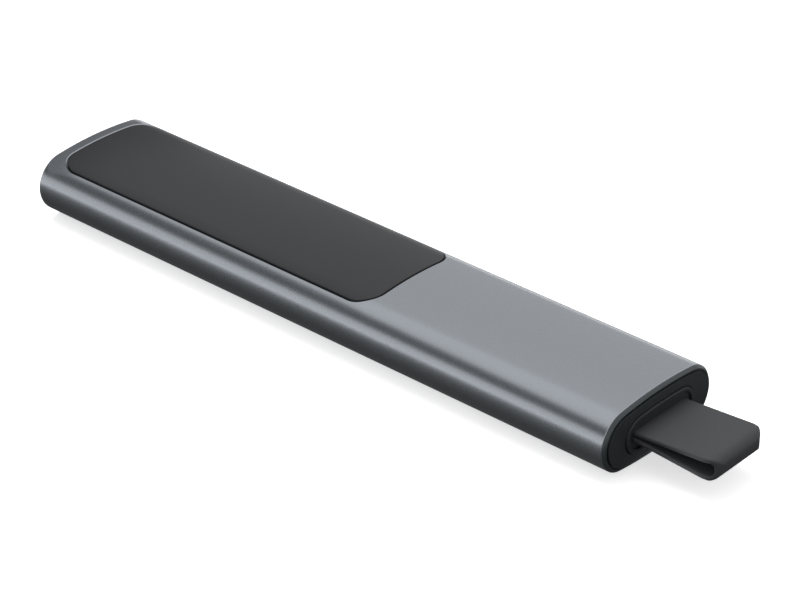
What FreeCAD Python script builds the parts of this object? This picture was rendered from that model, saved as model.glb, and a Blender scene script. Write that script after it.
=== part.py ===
import FreeCAD, Part
import math
import os

from FreeCAD import Vector

# Wireless presentation clicker, lying on its button side with the dark panel up.
# Millimetres. +X runs along the body to the strap end, +Z is up. The origin is the middle of the
# whole clicker, strap included, on the surface that it lies on.

# Aluminium sleeve: one drawn tube, closed at the tail, with four tangent arcs as its section
body_length = 131.3
body_width = 28.1
body_height = 12.1
crown_radius = 75.0
rest_flat_depth = 0.1
wall = 1.2
tail_wall = 1.6
tail_edge_radius = 0.45
end_round_steps = 2
mouth_edge_break = 0.14
window_edge_break = 0.14

# Rear panel: the plastic window that the radio works through, taped into a rebate
panel_margin = 2.45
panel_length = 75.8
panel_side_margin = 2.85
panel_corner_radius = 4.26
panel_gap = 0.16
panel_rebate_depth = 0.75
panel_ledge_width = 1.2
panel_sink = 0.02
panel_skin = 1.5
tape_thickness = 0.12
inner_gap = 0.12
hook_count = 3
hook_length = 4.0
hook_thickness = 0.8
hook_catch = 0.35
hook_clearance = 0.1
hook_catch_height = 0.5

# End bezel: the dark bevelled ring that finishes the sleeve's mouth
sleeve_setback = 1.15
bezel_length = 0.58
bezel_face_width = 0.82
bezel_edge_break = 0.45
bezel_web = 0.3
bezel_skirt_length = 4.2
bezel_skirt_thickness = 0.5
bezel_fit = 0.06
bezel_skirt_height = 5.0

# Receiver bay: the garage that the receiver slides into, with its end plate
bay_groove = 0.13
bay_plate_sink = 0.3
bay_depth = 24.65
bay_wall = 0.55
bay_back_wall = 1.0
bay_clearance = 0.18
bay_tongue_length = 7.0
bay_tongue_width = 2.4
bay_tongue_slit = 0.5
bay_bump = 0.12
bay_ear_length = 3.3
bay_ear_width = 2.9
bay_ear_thickness = 1.2
bay_ear_lift = 0.2
bay_ear_socket_gap = 1.0

# Receiver: the plug-in radio that lives in the bay
receiver_width = 17.7
receiver_height = 7.0
receiver_crown_radius = 72.0
receiver_body_length = 11.4
receiver_wall = 0.8
receiver_nose_wall = 1.0
receiver_rim_width = 0.75
receiver_rim_depth = 0.4
receiver_edge_break = 0.15
end_plug_flange = 1.8
end_plug_spigot = 1.5
end_plug_fit = 0.05
ear_thickness = 0.7
ear_reach = 2.9
plug_width = 12.0
plug_height = 4.5
plug_length = 12.0
plug_sheet = 0.3
plug_corner_radius = 0.6
plug_tail = 1.6
plug_window_length = 2.4
plug_window_width = 2.2
plug_window_pitch = 5.2
plug_window_inset = 5.0
tongue_width = 10.7
tongue_thickness = 1.9
tongue_setback = 0.6
contact_count = 4
contact_width = 1.0
contact_pitch = 2.3
contact_length = 7.0
contact_thickness = 0.12
receiver_board_thickness = 0.6
receiver_board_gap = 0.15
receiver_chip_size = 3.0
receiver_chip_height = 0.7

# Strap: an elastic loop round a steel pin inside the receiver
strap_width = 13.6
strap_thickness = 0.8
strap_reach = 15.6
strap_root_gap = 0.1
strap_end_height = 4.0
strap_corner_radius = 1.6
strap_plan_radius = 2.6
strap_edge_break = 0.22
strap_slot_clearance = 0.15
strap_pin_radius = 0.6
strap_pin_clearance = 0.06

# Main board and what sits on it
board_thickness = 0.8
board_side_gap = 2.45
board_tail_gap = 2.6
board_bay_gap = 0.3
board_corner_radius = 2.0
usb_width = 8.94
usb_height = 3.26
usb_length = 7.3
usb_sheet = 0.25
usb_corner_radius = 1.25
usb_tongue_width = 6.7
usb_tongue_thickness = 0.7
usb_tongue_setback = 1.2
usb_rear_block = 1.6
usb_contact_count = 12
usb_contact_pitch = 0.5
usb_contact_width = 0.26
usb_contact_thickness = 0.06
usb_contact_length = 3.6
usb_window_clearance = 0.08

# Tact switches, on the underside of the board over the three buttons
switch_size = 4.5
switch_height = 1.0
switch_roof = 0.2
switch_cavity_width = 3.1
button_travel = 0.25
switch_cover = 0.15
switch_cover_hole_width = 1.8
plunger_width = 1.5
plunger_flange_width = 2.4
plunger_tip = 0.5
plunger_play = 0.03
dome_radius = 1.45
dome_sheet = 0.08
dome_gap = 0.04
dome_spare = 0.15

# Buttons, in a row from the tail
pointer_place = 20.5
pointer_diameter = 12.0
next_diameter = 16.6
back_diameter = 12.0
button_spacing = 3.7
button_gap = 0.2
button_sink = 0.06
button_face = 1.0
button_wall = 1.0
button_height = 1.9
button_tab_reach = 0.75
button_tab_width = 3.0
button_tab_thickness = 0.6
button_tab_clearance = 0.06
button_post_width = 2.2
button_edge_break = 0.22
next_dish_depth = 0.5
pointer_dish_depth = 0.35
back_dish_depth = 0.22
dish_margin = 0.9
pointer_nub_radius = 1.1
pointer_nub_height = 0.3

# Button frame: the trough that carries the board and locates the buttons
frame_gap = 0.08
frame_skin = 0.9
frame_window_gap = 0.2
frame_overhang = 7.5

# Chassis frame: rails, ribs and screw bosses over the board
chassis_gap = 0.15
rail_thickness = 1.4
rail_top = 2.2
chassis_tail_gap = 0.4
rib_thickness = 1.0
rib_height = 2.6
boss_radius = 1.6
boss_merge = 0.4
boss_place = 10.0
tail_rib_place = 13.2
centre_rib_place = 33.5

# Screws that hold the board, the frame and the bay to the chassis
screw_radius = 0.7
screw_head_radius = 1.2
screw_head_height = 0.6
screw_length = 3.4
bay_screw_length = 2.6
screw_clearance = 0.08
screw_recess_width = 0.35
screw_recess_depth = 0.35

# Battery pouch, its tape, its protection board and its leads
cell_socket_gap = 3.6
cell_side_gap = 3.8
cell_thickness = 3.9
cell_corner_radius = 1.2
cell_tape_thickness = 0.4
cell_tape_margin = 1.5
cell_rib_gap = 0.25
guard_board_length = 1.6
guard_board_width = 9.0
guard_board_height = 2.4
guard_board_lift = 0.1
lead_radius = 0.42
lead_spacing = 2.2
lead_reach = 3.0
connector_gap = 1.2
connector_length = 2.6
connector_width = 5.0
connector_height = 2.0

# Vibration motor
motor_place = 47.5
motor_radius = 4.0
motor_height = 2.6
motor_sheet = 0.25
motor_base = 0.3
motor_tape_thickness = 0.15
motor_shaft_radius = 0.4
rotor_radius = 3.4
rotor_thickness = 1.2
rotor_bore_gap = 0.05
rotor_lift = 0.35
motor_cradle_wall = 0.8
motor_cradle_gap = 0.12
motor_cradle_height = 1.6
motor_flex_width = 1.8
motor_flex_length = 4.5

# Chips and small parts on the board
radio_place = 26.0
radio_size = 5.0
radio_height = 0.85
shield_wall = 0.2
shield_gap = 0.5
shield_height = 1.5
sensor_place = 38.0
sensor_size = 3.0
sensor_height = 0.9
charger_size = 2.5
charger_height = 0.75
charger_gap = 0.9
crystal_place = 32.6
crystal_length = 2.5
crystal_width = 2.0
crystal_height = 0.6
antenna_place = 6.4
antenna_length = 2.0
antenna_width = 7.0
antenna_height = 1.0
passive_length = 1.0
passive_width = 0.5
passive_height = 0.45
passive_pitch = 1.5
passive_columns = 5
passive_place = 41.0
passive_rail_gap = 4.2
led_place = 9.5
led_size = 1.6
led_height = 0.6
light_pipe_radius = 0.55
light_pipe_flange_width = 1.9
light_pipe_flange = 0.5
light_pipe_gap = 0.06

# One overrun serves every cut
overrun = 2.0

# Places worked out from the sizes above
overall_length = body_length + strap_reach
x_tail = -overall_length / 2
x_mouth = x_tail + body_length
section_height = body_height + rest_flat_depth
z_mid = body_height - section_height / 2
crown_drop = crown_radius - section_height / 2
side_radius = (crown_radius ** 2 - (body_width / 2) ** 2 - crown_drop ** 2) / (
    2 * crown_radius - body_width
)
side_centre = body_width / 2 - side_radius
lean = math.atan2(side_centre, crown_drop)
x_sleeve_end = x_mouth - sleeve_setback
x_bezel_end = x_sleeve_end + bezel_length
x_bay_face = x_mouth - bay_plate_sink
x_bay_floor = x_mouth - bay_depth
x_bay_back = x_bay_floor - bay_back_wall
board_top = z_mid - usb_height / 2
board_bottom = board_top - board_thickness
x_board_start = x_tail + tail_wall + board_tail_gap
x_board_end = x_bay_back - board_bay_gap
rail_outer_inset = wall + chassis_gap
rail_inner_half = body_width / 2 - rail_outer_inset - rail_thickness
boss_y = rail_inner_half - boss_radius + boss_merge
board_width = body_width - 2 * board_side_gap
cell_width = 2 * (rail_inner_half - cell_side_gap)
panel_width = body_width - 2 * panel_side_margin
x_receiver_nose = x_mouth - receiver_body_length
x_plug_flange = x_mouth - end_plug_flange
x_strap_pin = x_plug_flange - ear_reach + strap_pin_radius * 2
next_place = pointer_place + pointer_diameter / 2 + button_spacing + next_diameter / 2
back_place = next_place + next_diameter / 2 + button_spacing + back_diameter / 2
buttons_end = back_place + back_diameter / 2
rib_places = (tail_rib_place, centre_rib_place)
button_row = (
    (pointer_place, pointer_diameter),
    (next_place, next_diameter),
    (back_place, back_diameter),
)
cradle_half = motor_radius + motor_cradle_gap + motor_cradle_wall
x_connector = x_tail + motor_place + cradle_half + connector_gap
x_lead_start = x_connector + connector_length
x_guard = x_lead_start + lead_reach
x_cell_front = x_guard + guard_board_length
x_cell_back = x_bay_floor - usb_length - cell_socket_gap
cell_floor = board_top + cell_tape_thickness
ear_floor = z_mid + bay_ear_lift
bay_half_width = receiver_width / 2 + bay_clearance
bay_screw_x = x_bay_back - bay_ear_length / 2
bay_screw_y = usb_width / 2 + bay_ear_socket_gap + bay_ear_width / 2
dome_rise = button_travel + dome_spare
plunger_flange = switch_height - switch_roof - plunger_play - dome_gap - dome_rise


def along(distance):
    """X of a place that is given by its distance from the tail."""
    return x_tail + distance


def pill_wire(x, width, height, crown):
    """An outline at x about the middle line: crown, side, belly and side, all tangent arcs."""
    half_width = width / 2
    half_height = height / 2
    drop = crown - half_height
    side = (crown ** 2 - half_width ** 2 - drop ** 2) / (2 * crown - width)
    touch = math.atan2(half_width - side, drop)
    touch_y = math.sin(touch) * crown
    touch_z = math.cos(touch) * crown - drop

    def at(y, z):
        return Vector(x, y, z_mid + z)

    top = Part.Arc(at(-touch_y, touch_z), at(0, half_height), at(touch_y, touch_z))
    right = Part.Arc(at(touch_y, touch_z), at(half_width, 0), at(touch_y, -touch_z))
    belly = Part.Arc(at(touch_y, -touch_z), at(0, -half_height), at(-touch_y, -touch_z))
    left = Part.Arc(at(-touch_y, -touch_z), at(-half_width, 0), at(-touch_y, touch_z))
    return Part.Wire([arc.toShape() for arc in (top, right, belly, left)])


def section_wire(x, inset):
    """The body's outline at x, moved in by inset."""
    return pill_wire(x, body_width - 2 * inset, section_height - 2 * inset, crown_radius - inset)


def body_bar(inset, x_from, x_to):
    """A solid bar of the body's section, moved in by inset."""
    face = Part.Face(section_wire(x_from, inset))
    return face.extrude(Vector(x_to - x_from, 0, 0))


def receiver_bar(inset, x_from, x_to):
    """A solid bar of the receiver's section, whose crown follows the body's, moved in by inset."""
    width = receiver_width - 2 * inset
    height = receiver_height - 2 * inset
    face = Part.Face(pill_wire(x_from, width, height, receiver_crown_radius - inset))
    return face.extrude(Vector(x_to - x_from, 0, 0))


def rounded_bar(x_start, x_end, radius):
    """A bar of the body's section whose edge at x_end is rounded in a few ruled steps."""
    sign = math.copysign(1, x_end - x_start)
    x_round = x_end - sign * radius
    pieces = [body_bar(0, x_start, x_round)]
    wires = []
    for step in range(end_round_steps + 1):
        angle = math.pi / 2 * step / end_round_steps
        inset = radius - radius * math.cos(angle)
        wires.append(section_wire(x_round + sign * radius * math.sin(angle), inset))
    for inner, outer in zip(wires, wires[1:]):
        pieces.append(Part.makeLoft([inner, outer], True, True))
    return join(pieces)


def belly_height(y, inset):
    """Height of the lower surface, moved in by inset, at a distance y from the middle."""
    reach = abs(y)
    touch_y = math.sin(lean) * (crown_radius - inset)
    if reach <= touch_y:
        return z_mid - math.sqrt((crown_radius - inset) ** 2 - reach ** 2) + crown_drop
    return z_mid - math.sqrt((side_radius - inset) ** 2 - (reach - side_centre) ** 2)


def rounded_wire(half_u, half_v, radius, place):
    """A rounded rectangle about the origin of a plane. place turns (u, v) into a point."""
    u_in = half_u - radius
    v_in = half_v - radius
    bend = radius * math.sqrt(0.5)
    edges = []
    for sign_u, sign_v in ((1, 1), (-1, 1), (-1, -1), (1, -1)):
        ends = [
            place(sign_u * half_u, sign_v * v_in),
            place(sign_u * (u_in + bend), sign_v * (v_in + bend)),
            place(sign_u * u_in, sign_v * half_v),
        ]
        if sign_u * sign_v < 0:
            ends.reverse()
        edges.append((Part.Arc(*ends).toShape(), ends[0], ends[-1]))
    wire_edges = []
    for index, (arc, start, end) in enumerate(edges):
        wire_edges.append(arc)
        following = edges[(index + 1) % len(edges)][1]
        if end.distanceToPoint(following) > radius * 1e-6:
            wire_edges.append(Part.makeLine(end, following))
    return Part.Wire(wire_edges)


def bar_x(width, height, radius, x_from, x_to):
    """A bar along X with a rounded rectangle section about the body's middle line."""
    wire = rounded_wire(width / 2, height / 2, radius, lambda u, v: Vector(x_from, u, z_mid + v))
    return Part.Face(wire).extrude(Vector(x_to - x_from, 0, 0))


def slab_z(x_from, x_to, width, radius, z_from, z_to):
    """An upright slab with a rounded rectangle outline, seen from above."""
    middle = (x_from + x_to) / 2
    half = (x_to - x_from) / 2
    wire = rounded_wire(half, width / 2, radius, lambda u, v: Vector(middle + u, v, z_from))
    return Part.Face(wire).extrude(Vector(0, 0, z_to - z_from))


def block(x_from, x_to, y_from, y_to, z_from, z_to):
    """A plain box between two corners."""
    size = (x_to - x_from, y_to - y_from, z_to - z_from)
    return Part.makeBox(*size, Vector(x_from, y_from, z_from))


def post(x, y, radius, z_from, z_to):
    """An upright cylinder."""
    return Part.makeCylinder(radius, z_to - z_from, Vector(x, y, z_from))


def cut_all(shape, tools):
    """The shape with every tool taken out of it."""
    for tool in tools:
        shape = shape.cut(tool)
    return shape


def join(shapes):
    """One solid from shapes that touch or overlap."""
    whole = shapes[0].multiFuse(shapes[1:]) if len(shapes) > 1 else shapes[0]
    return whole.removeSplitter()


def edges_where(shape, test):
    """The shape's edges whose two ends and middle all pass a test."""
    found = []
    for edge in shape.Edges:
        first, last = edge.ParameterRange
        points = [edge.valueAt(first), edge.valueAt((first + last) / 2), edge.valueAt(last)]
        if all(test(point) for point in points):
            found.append(edge)
    return found


def panel_slab(shrink, z_from, z_to):
    """The panel's outline moved in by shrink, as an upright slab."""
    x_from = along(panel_margin)
    return slab_z(
        x_from + shrink,
        x_from + panel_length - shrink,
        panel_width - 2 * shrink,
        max(panel_corner_radius - shrink, panel_corner_radius / 2),
        z_from,
        z_to,
    )


def make_sleeve():
    """Drawn aluminium tube with its window, its button holes and its light hole."""
    outer = rounded_bar(x_sleeve_end, x_tail, tail_edge_radius)
    near = mouth_edge_break / 10
    mouth_edges = edges_where(outer, lambda p: abs(p.x - x_sleeve_end) < near)
    outer = outer.makeChamfer(mouth_edge_break, mouth_edges)
    hollow = body_bar(wall, x_tail + tail_wall, x_sleeve_end + overrun)
    below = block(x_tail - overrun, x_mouth + overrun, -body_width, body_width, -overrun, 0)
    rebate = panel_slab(-panel_gap, z_mid, body_height + overrun)
    rebate = rebate.cut(body_bar(panel_rebate_depth, x_tail, x_mouth))
    opening = panel_slab(panel_ledge_width, z_mid, body_height + overrun)
    holes = [
        post(along(place), 0, diameter / 2, -overrun, z_mid) for place, diameter in button_row
    ]
    light_hole = post(along(led_place), 0, light_pipe_radius + light_pipe_gap, -overrun, z_mid)
    sleeve = break_window_edge(outer.cut(rebate))
    return cut_all(sleeve, [hollow, below, opening, light_hole] + holes)


def break_window_edge(sleeve):
    """Takes the sharp edge off the window's outer rim."""
    x_from = along(panel_margin) - panel_gap
    x_to = x_from + panel_length + 2 * panel_gap
    half = panel_width / 2 + panel_gap
    near = panel_gap / 10
    surface = body_bar(0, x_tail - overrun, x_mouth + overrun).Shells[0]

    def on_rim(point):
        inside = x_from - near < point.x < x_to + near and abs(point.y) < half + near
        if not inside or point.z < z_mid:
            return False
        return surface.distToShape(Part.Vertex(point))[0] < near

    rim = edges_where(sleeve, on_rim)
    return sleeve.makeChamfer(window_edge_break, rim)


def make_panel():
    """Radio window: a plate in the rebate, a thick middle through the opening, and snap hooks."""
    plate_depth = panel_rebate_depth - tape_thickness
    skin = body_bar(panel_sink, x_tail, x_mouth)
    plate = panel_slab(0, z_mid, body_height + overrun).common(skin)
    plate = plate.cut(body_bar(plate_depth, x_tail - overrun, x_mouth + overrun))
    middle = panel_slab(panel_ledge_width + inner_gap, z_mid, body_height + overrun)
    middle = middle.common(body_bar(plate_depth, x_tail, x_mouth))
    middle = middle.cut(body_bar(panel_skin, x_tail - overrun, x_mouth + overrun))
    return join([plate, middle] + panel_hooks())


def upper_height(y, inset):
    """Height of the upper surface, moved in by inset, at a distance y from the middle."""
    return 2 * z_mid - belly_height(y, inset)


def panel_hooks():
    """Snap hooks down both long sides, which catch under the edge of the opening."""
    side_y = panel_width / 2 - panel_ledge_width - inner_gap
    top = upper_height(side_y, panel_skin) + panel_skin / 3
    catch_top = upper_height(side_y + hook_catch, wall) - hook_clearance
    bottom = catch_top - hook_catch_height
    hooks = []
    pitch = panel_length / hook_count
    for index in range(hook_count):
        middle = along(panel_margin) + pitch * (index + 0.5)
        for side in (-1, 1):
            profile = [
                (side_y - hook_thickness, top),
                (side_y, top),
                (side_y, catch_top),
                (side_y + hook_catch, catch_top),
                (side_y, bottom),
                (side_y - hook_thickness, bottom),
            ]
            points = [Vector(middle - hook_length / 2, side * y, z) for y, z in profile]
            face = Part.Face(Part.makePolygon(points + points[:1]))
            hooks.append(face.extrude(Vector(hook_length, 0, 0)))
    return hooks


def make_panel_tape():
    """Ring of adhesive tape between the rebate's floor and the panel."""
    ring = panel_slab(0, z_mid, body_height + overrun)
    ring = ring.common(body_bar(panel_rebate_depth - tape_thickness, x_tail, x_mouth))
    ring = ring.cut(body_bar(panel_rebate_depth, x_tail - overrun, x_mouth + overrun))
    return ring.cut(panel_slab(panel_ledge_width, z_mid, body_height + overrun))


def make_bezel():
    """Dark ring at the mouth: a bevelled rim, a web over the sleeve's end and two side skirts."""
    rim = body_bar(0, x_sleeve_end, x_bezel_end)
    near = bezel_edge_break / 10
    front_edges = edges_where(rim, lambda p: abs(p.x - x_bezel_end) < near)
    rim = rim.makeChamfer(bezel_edge_break, front_edges)
    x_web = x_sleeve_end + bezel_web
    rim = rim.cut(body_bar(bezel_face_width, x_web, x_mouth + overrun))
    skirt_outer = wall + bezel_fit
    skirt_inner = skirt_outer + bezel_skirt_thickness
    rim = rim.cut(body_bar(skirt_inner, x_sleeve_end - overrun, x_web + overrun))
    x_skirt = x_sleeve_end - bezel_skirt_length
    skirt = body_bar(skirt_outer, x_skirt, x_web)
    skirt = skirt.cut(body_bar(skirt_inner, x_skirt - overrun, x_web + overrun))
    half = bezel_skirt_height / 2
    sides = [
        block(x_skirt, x_web, side_centre, body_width, z_mid - half, z_mid + half),
        block(x_skirt, x_web, -body_width, -side_centre, z_mid - half, z_mid + half),
    ]
    skirts = [skirt.common(side) for side in sides]
    below = block(x_tail, x_mouth + overrun, -body_width, body_width, -overrun, 0)
    return join([rim] + skirts).cut(below)


def make_bay():
    """Garage for the receiver: end plate, sleeve, back wall with the socket's window, and ears."""
    lip_inset = bezel_face_width + bay_groove
    tube_inset = wall + bezel_fit + bezel_skirt_thickness + bezel_fit
    x_lip = x_sleeve_end + bezel_web + bezel_fit
    lip = body_bar(lip_inset, x_lip, x_bay_face)
    tube = receiver_bar(-bay_clearance - bay_wall, x_bay_back, x_lip)
    tube = tube.common(body_bar(tube_inset, x_bay_back, x_lip))
    ears = []
    for side in (-1, 1):
        y_low = side * bay_screw_y - bay_ear_width / 2
        ears.append(block(x_bay_back - bay_ear_length, x_bay_back, y_low, y_low + bay_ear_width,
                          ear_floor, ear_floor + bay_ear_thickness))
    bay = join([lip, tube] + ears)
    bay = bay.cut(receiver_bar(-bay_clearance, x_bay_floor, x_mouth + overrun))
    usb_hole = bar_x(
        usb_width + 2 * usb_window_clearance,
        usb_height + 2 * usb_window_clearance,
        usb_corner_radius + usb_window_clearance,
        x_bay_back - overrun,
        x_bay_floor + overrun,
    )
    bay = bay.cut(usb_hole)
    for side in (-1, 1):
        bay = cut_tongue(bay, side)
        bay = bay.cut(post(bay_screw_x, side * bay_screw_y, screw_radius + screw_clearance,
                           z_mid, body_height))
    return bay


def cut_tongue(bay, side):
    """Frees a springy tongue in a side wall, with a bump that the receiver's groove snaps over."""
    x_root = x_receiver_nose + receiver_wall
    x_tip = x_root + bay_tongue_length
    y_low, y_high = sorted((side * (bay_half_width - bay_wall), side * (bay_half_width + overrun)))
    half = bay_tongue_width / 2
    slits = [
        block(x_root, x_tip, y_low, y_high, z_mid + half, z_mid + half + bay_tongue_slit),
        block(x_root, x_tip, y_low, y_high, z_mid - half - bay_tongue_slit, z_mid - half),
        block(x_tip, x_tip + bay_tongue_slit, y_low, y_high,
              z_mid - half - bay_tongue_slit, z_mid + half + bay_tongue_slit),
    ]
    bay = cut_all(bay, slits)
    bump_radius = bay_tongue_slit + bay_bump
    bump = Part.makeCylinder(
        bump_radius, bay_tongue_width,
        Vector(x_tip - bump_radius, side * (bay_half_width + bay_tongue_slit), z_mid - half),
    )
    y_low, y_high = sorted((side * (bay_half_width - bay_bump), side * (bay_half_width + bay_wall)))
    reach = block(x_root, x_tip, y_low, y_high, z_mid - half, z_mid + half)
    return bay.fuse(bump.common(reach))


def make_receiver_housing():
    """Moulded body of the receiver, open at the back, with a window for the plug."""
    body = receiver_bar(0, x_receiver_nose, x_plug_flange)
    near = receiver_edge_break / 10
    nose_edges = edges_where(body, lambda p: abs(p.x - x_receiver_nose) < near)
    body = body.makeChamfer(receiver_edge_break, nose_edges)
    hollow = receiver_bar(receiver_wall, x_receiver_nose + receiver_nose_wall,
                          x_plug_flange + overrun)
    window = bar_x(plug_width, plug_height, plug_corner_radius,
                   x_receiver_nose - overrun, x_receiver_nose + overrun)
    body = cut_all(body, [hollow, window])
    for side in (-1, 1):
        groove_x = x_receiver_nose + receiver_wall + bay_tongue_length - bay_tongue_slit - bay_bump
        groove = Part.makeCylinder(
            bay_tongue_slit + bay_bump, bay_tongue_width + 2 * bay_clearance,
            Vector(groove_x, side * (receiver_width / 2 + bay_tongue_slit - bay_bump),
                   z_mid - bay_tongue_width / 2 - bay_clearance),
        )
        body = body.cut(groove)
    return body


def make_end_plug():
    """Closing plug of the receiver: a rimmed face, a spigot, the strap's slot and the pin's ears."""
    flange = receiver_bar(0, x_plug_flange, x_mouth)
    near = receiver_edge_break / 10
    face_edges = edges_where(flange, lambda p: abs(p.x - x_mouth) < near)
    flange = flange.makeChamfer(receiver_edge_break, face_edges)
    dish = receiver_bar(receiver_rim_width, x_mouth - receiver_rim_depth, x_mouth + overrun)
    spigot = receiver_bar(receiver_wall + end_plug_fit, x_plug_flange - end_plug_spigot,
                          x_plug_flange)
    ears = []
    ear_y = strap_width / 2 + strap_slot_clearance
    ear_half = strap_pin_radius * 2
    for side in (-1, 1):
        y_low, y_high = sorted((side * ear_y, side * (ear_y + ear_thickness)))
        ears.append(block(x_plug_flange - ear_reach, x_plug_flange, y_low, y_high,
                          z_mid - ear_half, z_mid + ear_half))
    plug = join([flange, spigot] + ears).cut(dish)
    slot_height = 2 * strap_thickness + strap_root_gap + 2 * strap_slot_clearance
    slot = block(
        x_plug_flange - end_plug_spigot - overrun, x_mouth + overrun,
        -ear_y, ear_y, z_mid - slot_height / 2, z_mid + slot_height / 2,
    )
    pocket_half = strap_pin_radius + strap_thickness + strap_slot_clearance
    pocket = block(
        x_plug_flange - end_plug_spigot - overrun, x_strap_pin + pocket_half,
        -ear_y, ear_y, z_mid - pocket_half, z_mid + pocket_half,
    )
    bore = Part.makeCylinder(
        strap_pin_radius + strap_pin_clearance / 2, receiver_width,
        Vector(x_strap_pin, -receiver_width / 2, z_mid), Vector(0, 1, 0),
    )
    return cut_all(plug, [slot, pocket, bore])


def make_strap_pin():
    """Steel pin across the receiver that the strap is looped round."""
    length = strap_width + 2 * strap_slot_clearance + 2 * ear_thickness
    return Part.makeCylinder(
        strap_pin_radius, length, Vector(x_strap_pin, -length / 2, z_mid), Vector(0, 1, 0)
    )


def strap_outline(inset):
    """The loop's outline in the XZ plane, moved in by inset, as lines and arcs."""
    wrap = strap_pin_radius + strap_pin_clearance + strap_thickness - inset
    root = strap_thickness + strap_root_gap / 2 - inset
    x_end = x_mouth + strap_reach - inset
    half = strap_end_height / 2 - inset
    corner = strap_corner_radius - inset
    neck_run = x_plug_flange - x_strap_pin
    turn = math.atan2(root, neck_run) + math.acos(wrap / math.hypot(neck_run, root))
    start_x = x_strap_pin + wrap * math.cos(turn)
    start_z = wrap * math.sin(turn)
    bend = corner * math.sqrt(0.5)

    def at(x, z):
        return Vector(x, 0, z_mid + z)

    return [
        Part.makeLine(at(start_x, start_z), at(x_plug_flange, root)),
        Part.makeLine(at(x_plug_flange, root), at(x_end - corner, half)),
        Part.Arc(at(x_end - corner, half), at(x_end - corner + bend, half - corner + bend),
                 at(x_end, half - corner)).toShape(),
        Part.makeLine(at(x_end, half - corner), at(x_end, corner - half)),
        Part.Arc(at(x_end, corner - half), at(x_end - corner + bend, corner - half - bend),
                 at(x_end - corner, -half)).toShape(),
        Part.makeLine(at(x_end - corner, -half), at(x_plug_flange, -root)),
        Part.makeLine(at(x_plug_flange, -root), at(start_x, -start_z)),
        Part.Arc(at(start_x, -start_z), at(x_strap_pin - wrap, 0), at(start_x, start_z)).toShape(),
    ]


def make_strap():
    """Elastic loop, one band all round, with its outer edges broken and its end rounded in plan."""
    outer = Part.Face(Part.Wire(strap_outline(0))).extrude(Vector(0, strap_width, 0))
    edges = edges_where(outer, lambda p: p.x > x_plug_flange)
    rims = [e for e in edges if abs(e.tangentAt(e.FirstParameter).y) < 0.5]
    outer = outer.makeChamfer(strap_edge_break, rims)
    inner = Part.Face(Part.Wire(strap_outline(strap_thickness)))
    inner = inner.extrude(Vector(0, strap_width + 2 * overrun, 0))
    inner.translate(Vector(0, -overrun, 0))
    loop = outer.cut(inner)
    loop.translate(Vector(0, -strap_width / 2, 0))
    tongue = slab_z(x_receiver_nose, x_mouth + strap_reach, strap_width, strap_plan_radius,
                    0, body_height)
    return loop.common(tongue)


def make_plug_shell():
    """Folded steel shell of the plug, with its four latch windows."""
    x_tip = x_receiver_nose - plug_length
    x_rear = x_receiver_nose + receiver_nose_wall + plug_tail
    shell = bar_x(plug_width, plug_height, plug_corner_radius, x_tip, x_rear)
    hollow = bar_x(
        plug_width - 2 * plug_sheet, plug_height - 2 * plug_sheet,
        plug_corner_radius - plug_sheet, x_tip - overrun, x_rear + overrun,
    )
    x_window = x_tip + plug_window_inset
    windows = [
        block(x_window, x_window + plug_window_length,
              side * plug_window_pitch / 2 - plug_window_width / 2,
              side * plug_window_pitch / 2 + plug_window_width / 2,
              z_mid - plug_height, z_mid + plug_height)
        for side in (-1, 1)
    ]
    return cut_all(shell, [hollow] + windows)


def tongue_top():
    """Height of the contact face of the plug's tongue, which lies against the shell's floor."""
    return z_mid - plug_height / 2 + plug_sheet + tongue_thickness


def make_plug_tongue():
    """Moulded tongue inside the plug, which carries the contacts."""
    x_tip = x_receiver_nose - plug_length + tongue_setback
    floor = z_mid - plug_height / 2 + plug_sheet
    half = tongue_width / 2
    tongue = block(x_tip, x_receiver_nose + receiver_nose_wall, -half, half, floor, tongue_top())
    lead = edges_where(tongue, lambda p: abs(p.x - x_tip) < overrun / 100 and p.z > tongue_top() - overrun / 100)
    tongue = tongue.makeChamfer(tongue_thickness / 3, lead)
    return cut_all(tongue, [contact.copy() for contact in plug_contact_bars()])


def plug_contact_bars():
    """Four contact bars let into the tongue's face."""
    x_tip = x_receiver_nose - plug_length + tongue_setback + tongue_thickness / 2
    bars = []
    for index in range(contact_count):
        y = (index - (contact_count - 1) / 2) * contact_pitch
        bars.append(block(x_tip, x_tip + contact_length, y - contact_width / 2, y + contact_width / 2,
                          tongue_top() - contact_thickness, tongue_top()))
    return bars


def make_receiver_board_and_chip():
    """Small board between the plug and the strap, and the radio chip on it."""
    x_from = x_receiver_nose + receiver_nose_wall + plug_tail
    x_to = x_strap_pin - strap_pin_radius - strap_pin_clearance - strap_thickness
    x_to -= strap_slot_clearance
    top = z_mid + receiver_board_thickness / 2
    half = receiver_width / 2 - receiver_wall - receiver_board_gap
    board = block(x_from, x_to, -half, half, top - receiver_board_thickness, top)
    middle = (x_from + x_to) / 2
    half_x = min(receiver_chip_size, x_to - x_from) / 2
    half_y = receiver_chip_size / 2
    chip_solid = block(middle - half_x, middle + half_x, -half_y, half_y,
                       top, top + receiver_chip_height)
    return board, chip_solid


def board_cutouts():
    """Screw holes through the board."""
    return [
        post(along(boss_place), side * boss_y, screw_radius + screw_clearance,
             board_bottom - overrun, board_top + overrun)
        for side in (-1, 1)
    ]


def make_board():
    """Main board, narrow enough for the sleeve, with rounded corners."""
    board = slab_z(x_board_start, x_board_end, board_width, board_corner_radius,
                   board_bottom, board_top)
    return cut_all(board, board_cutouts())


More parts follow.
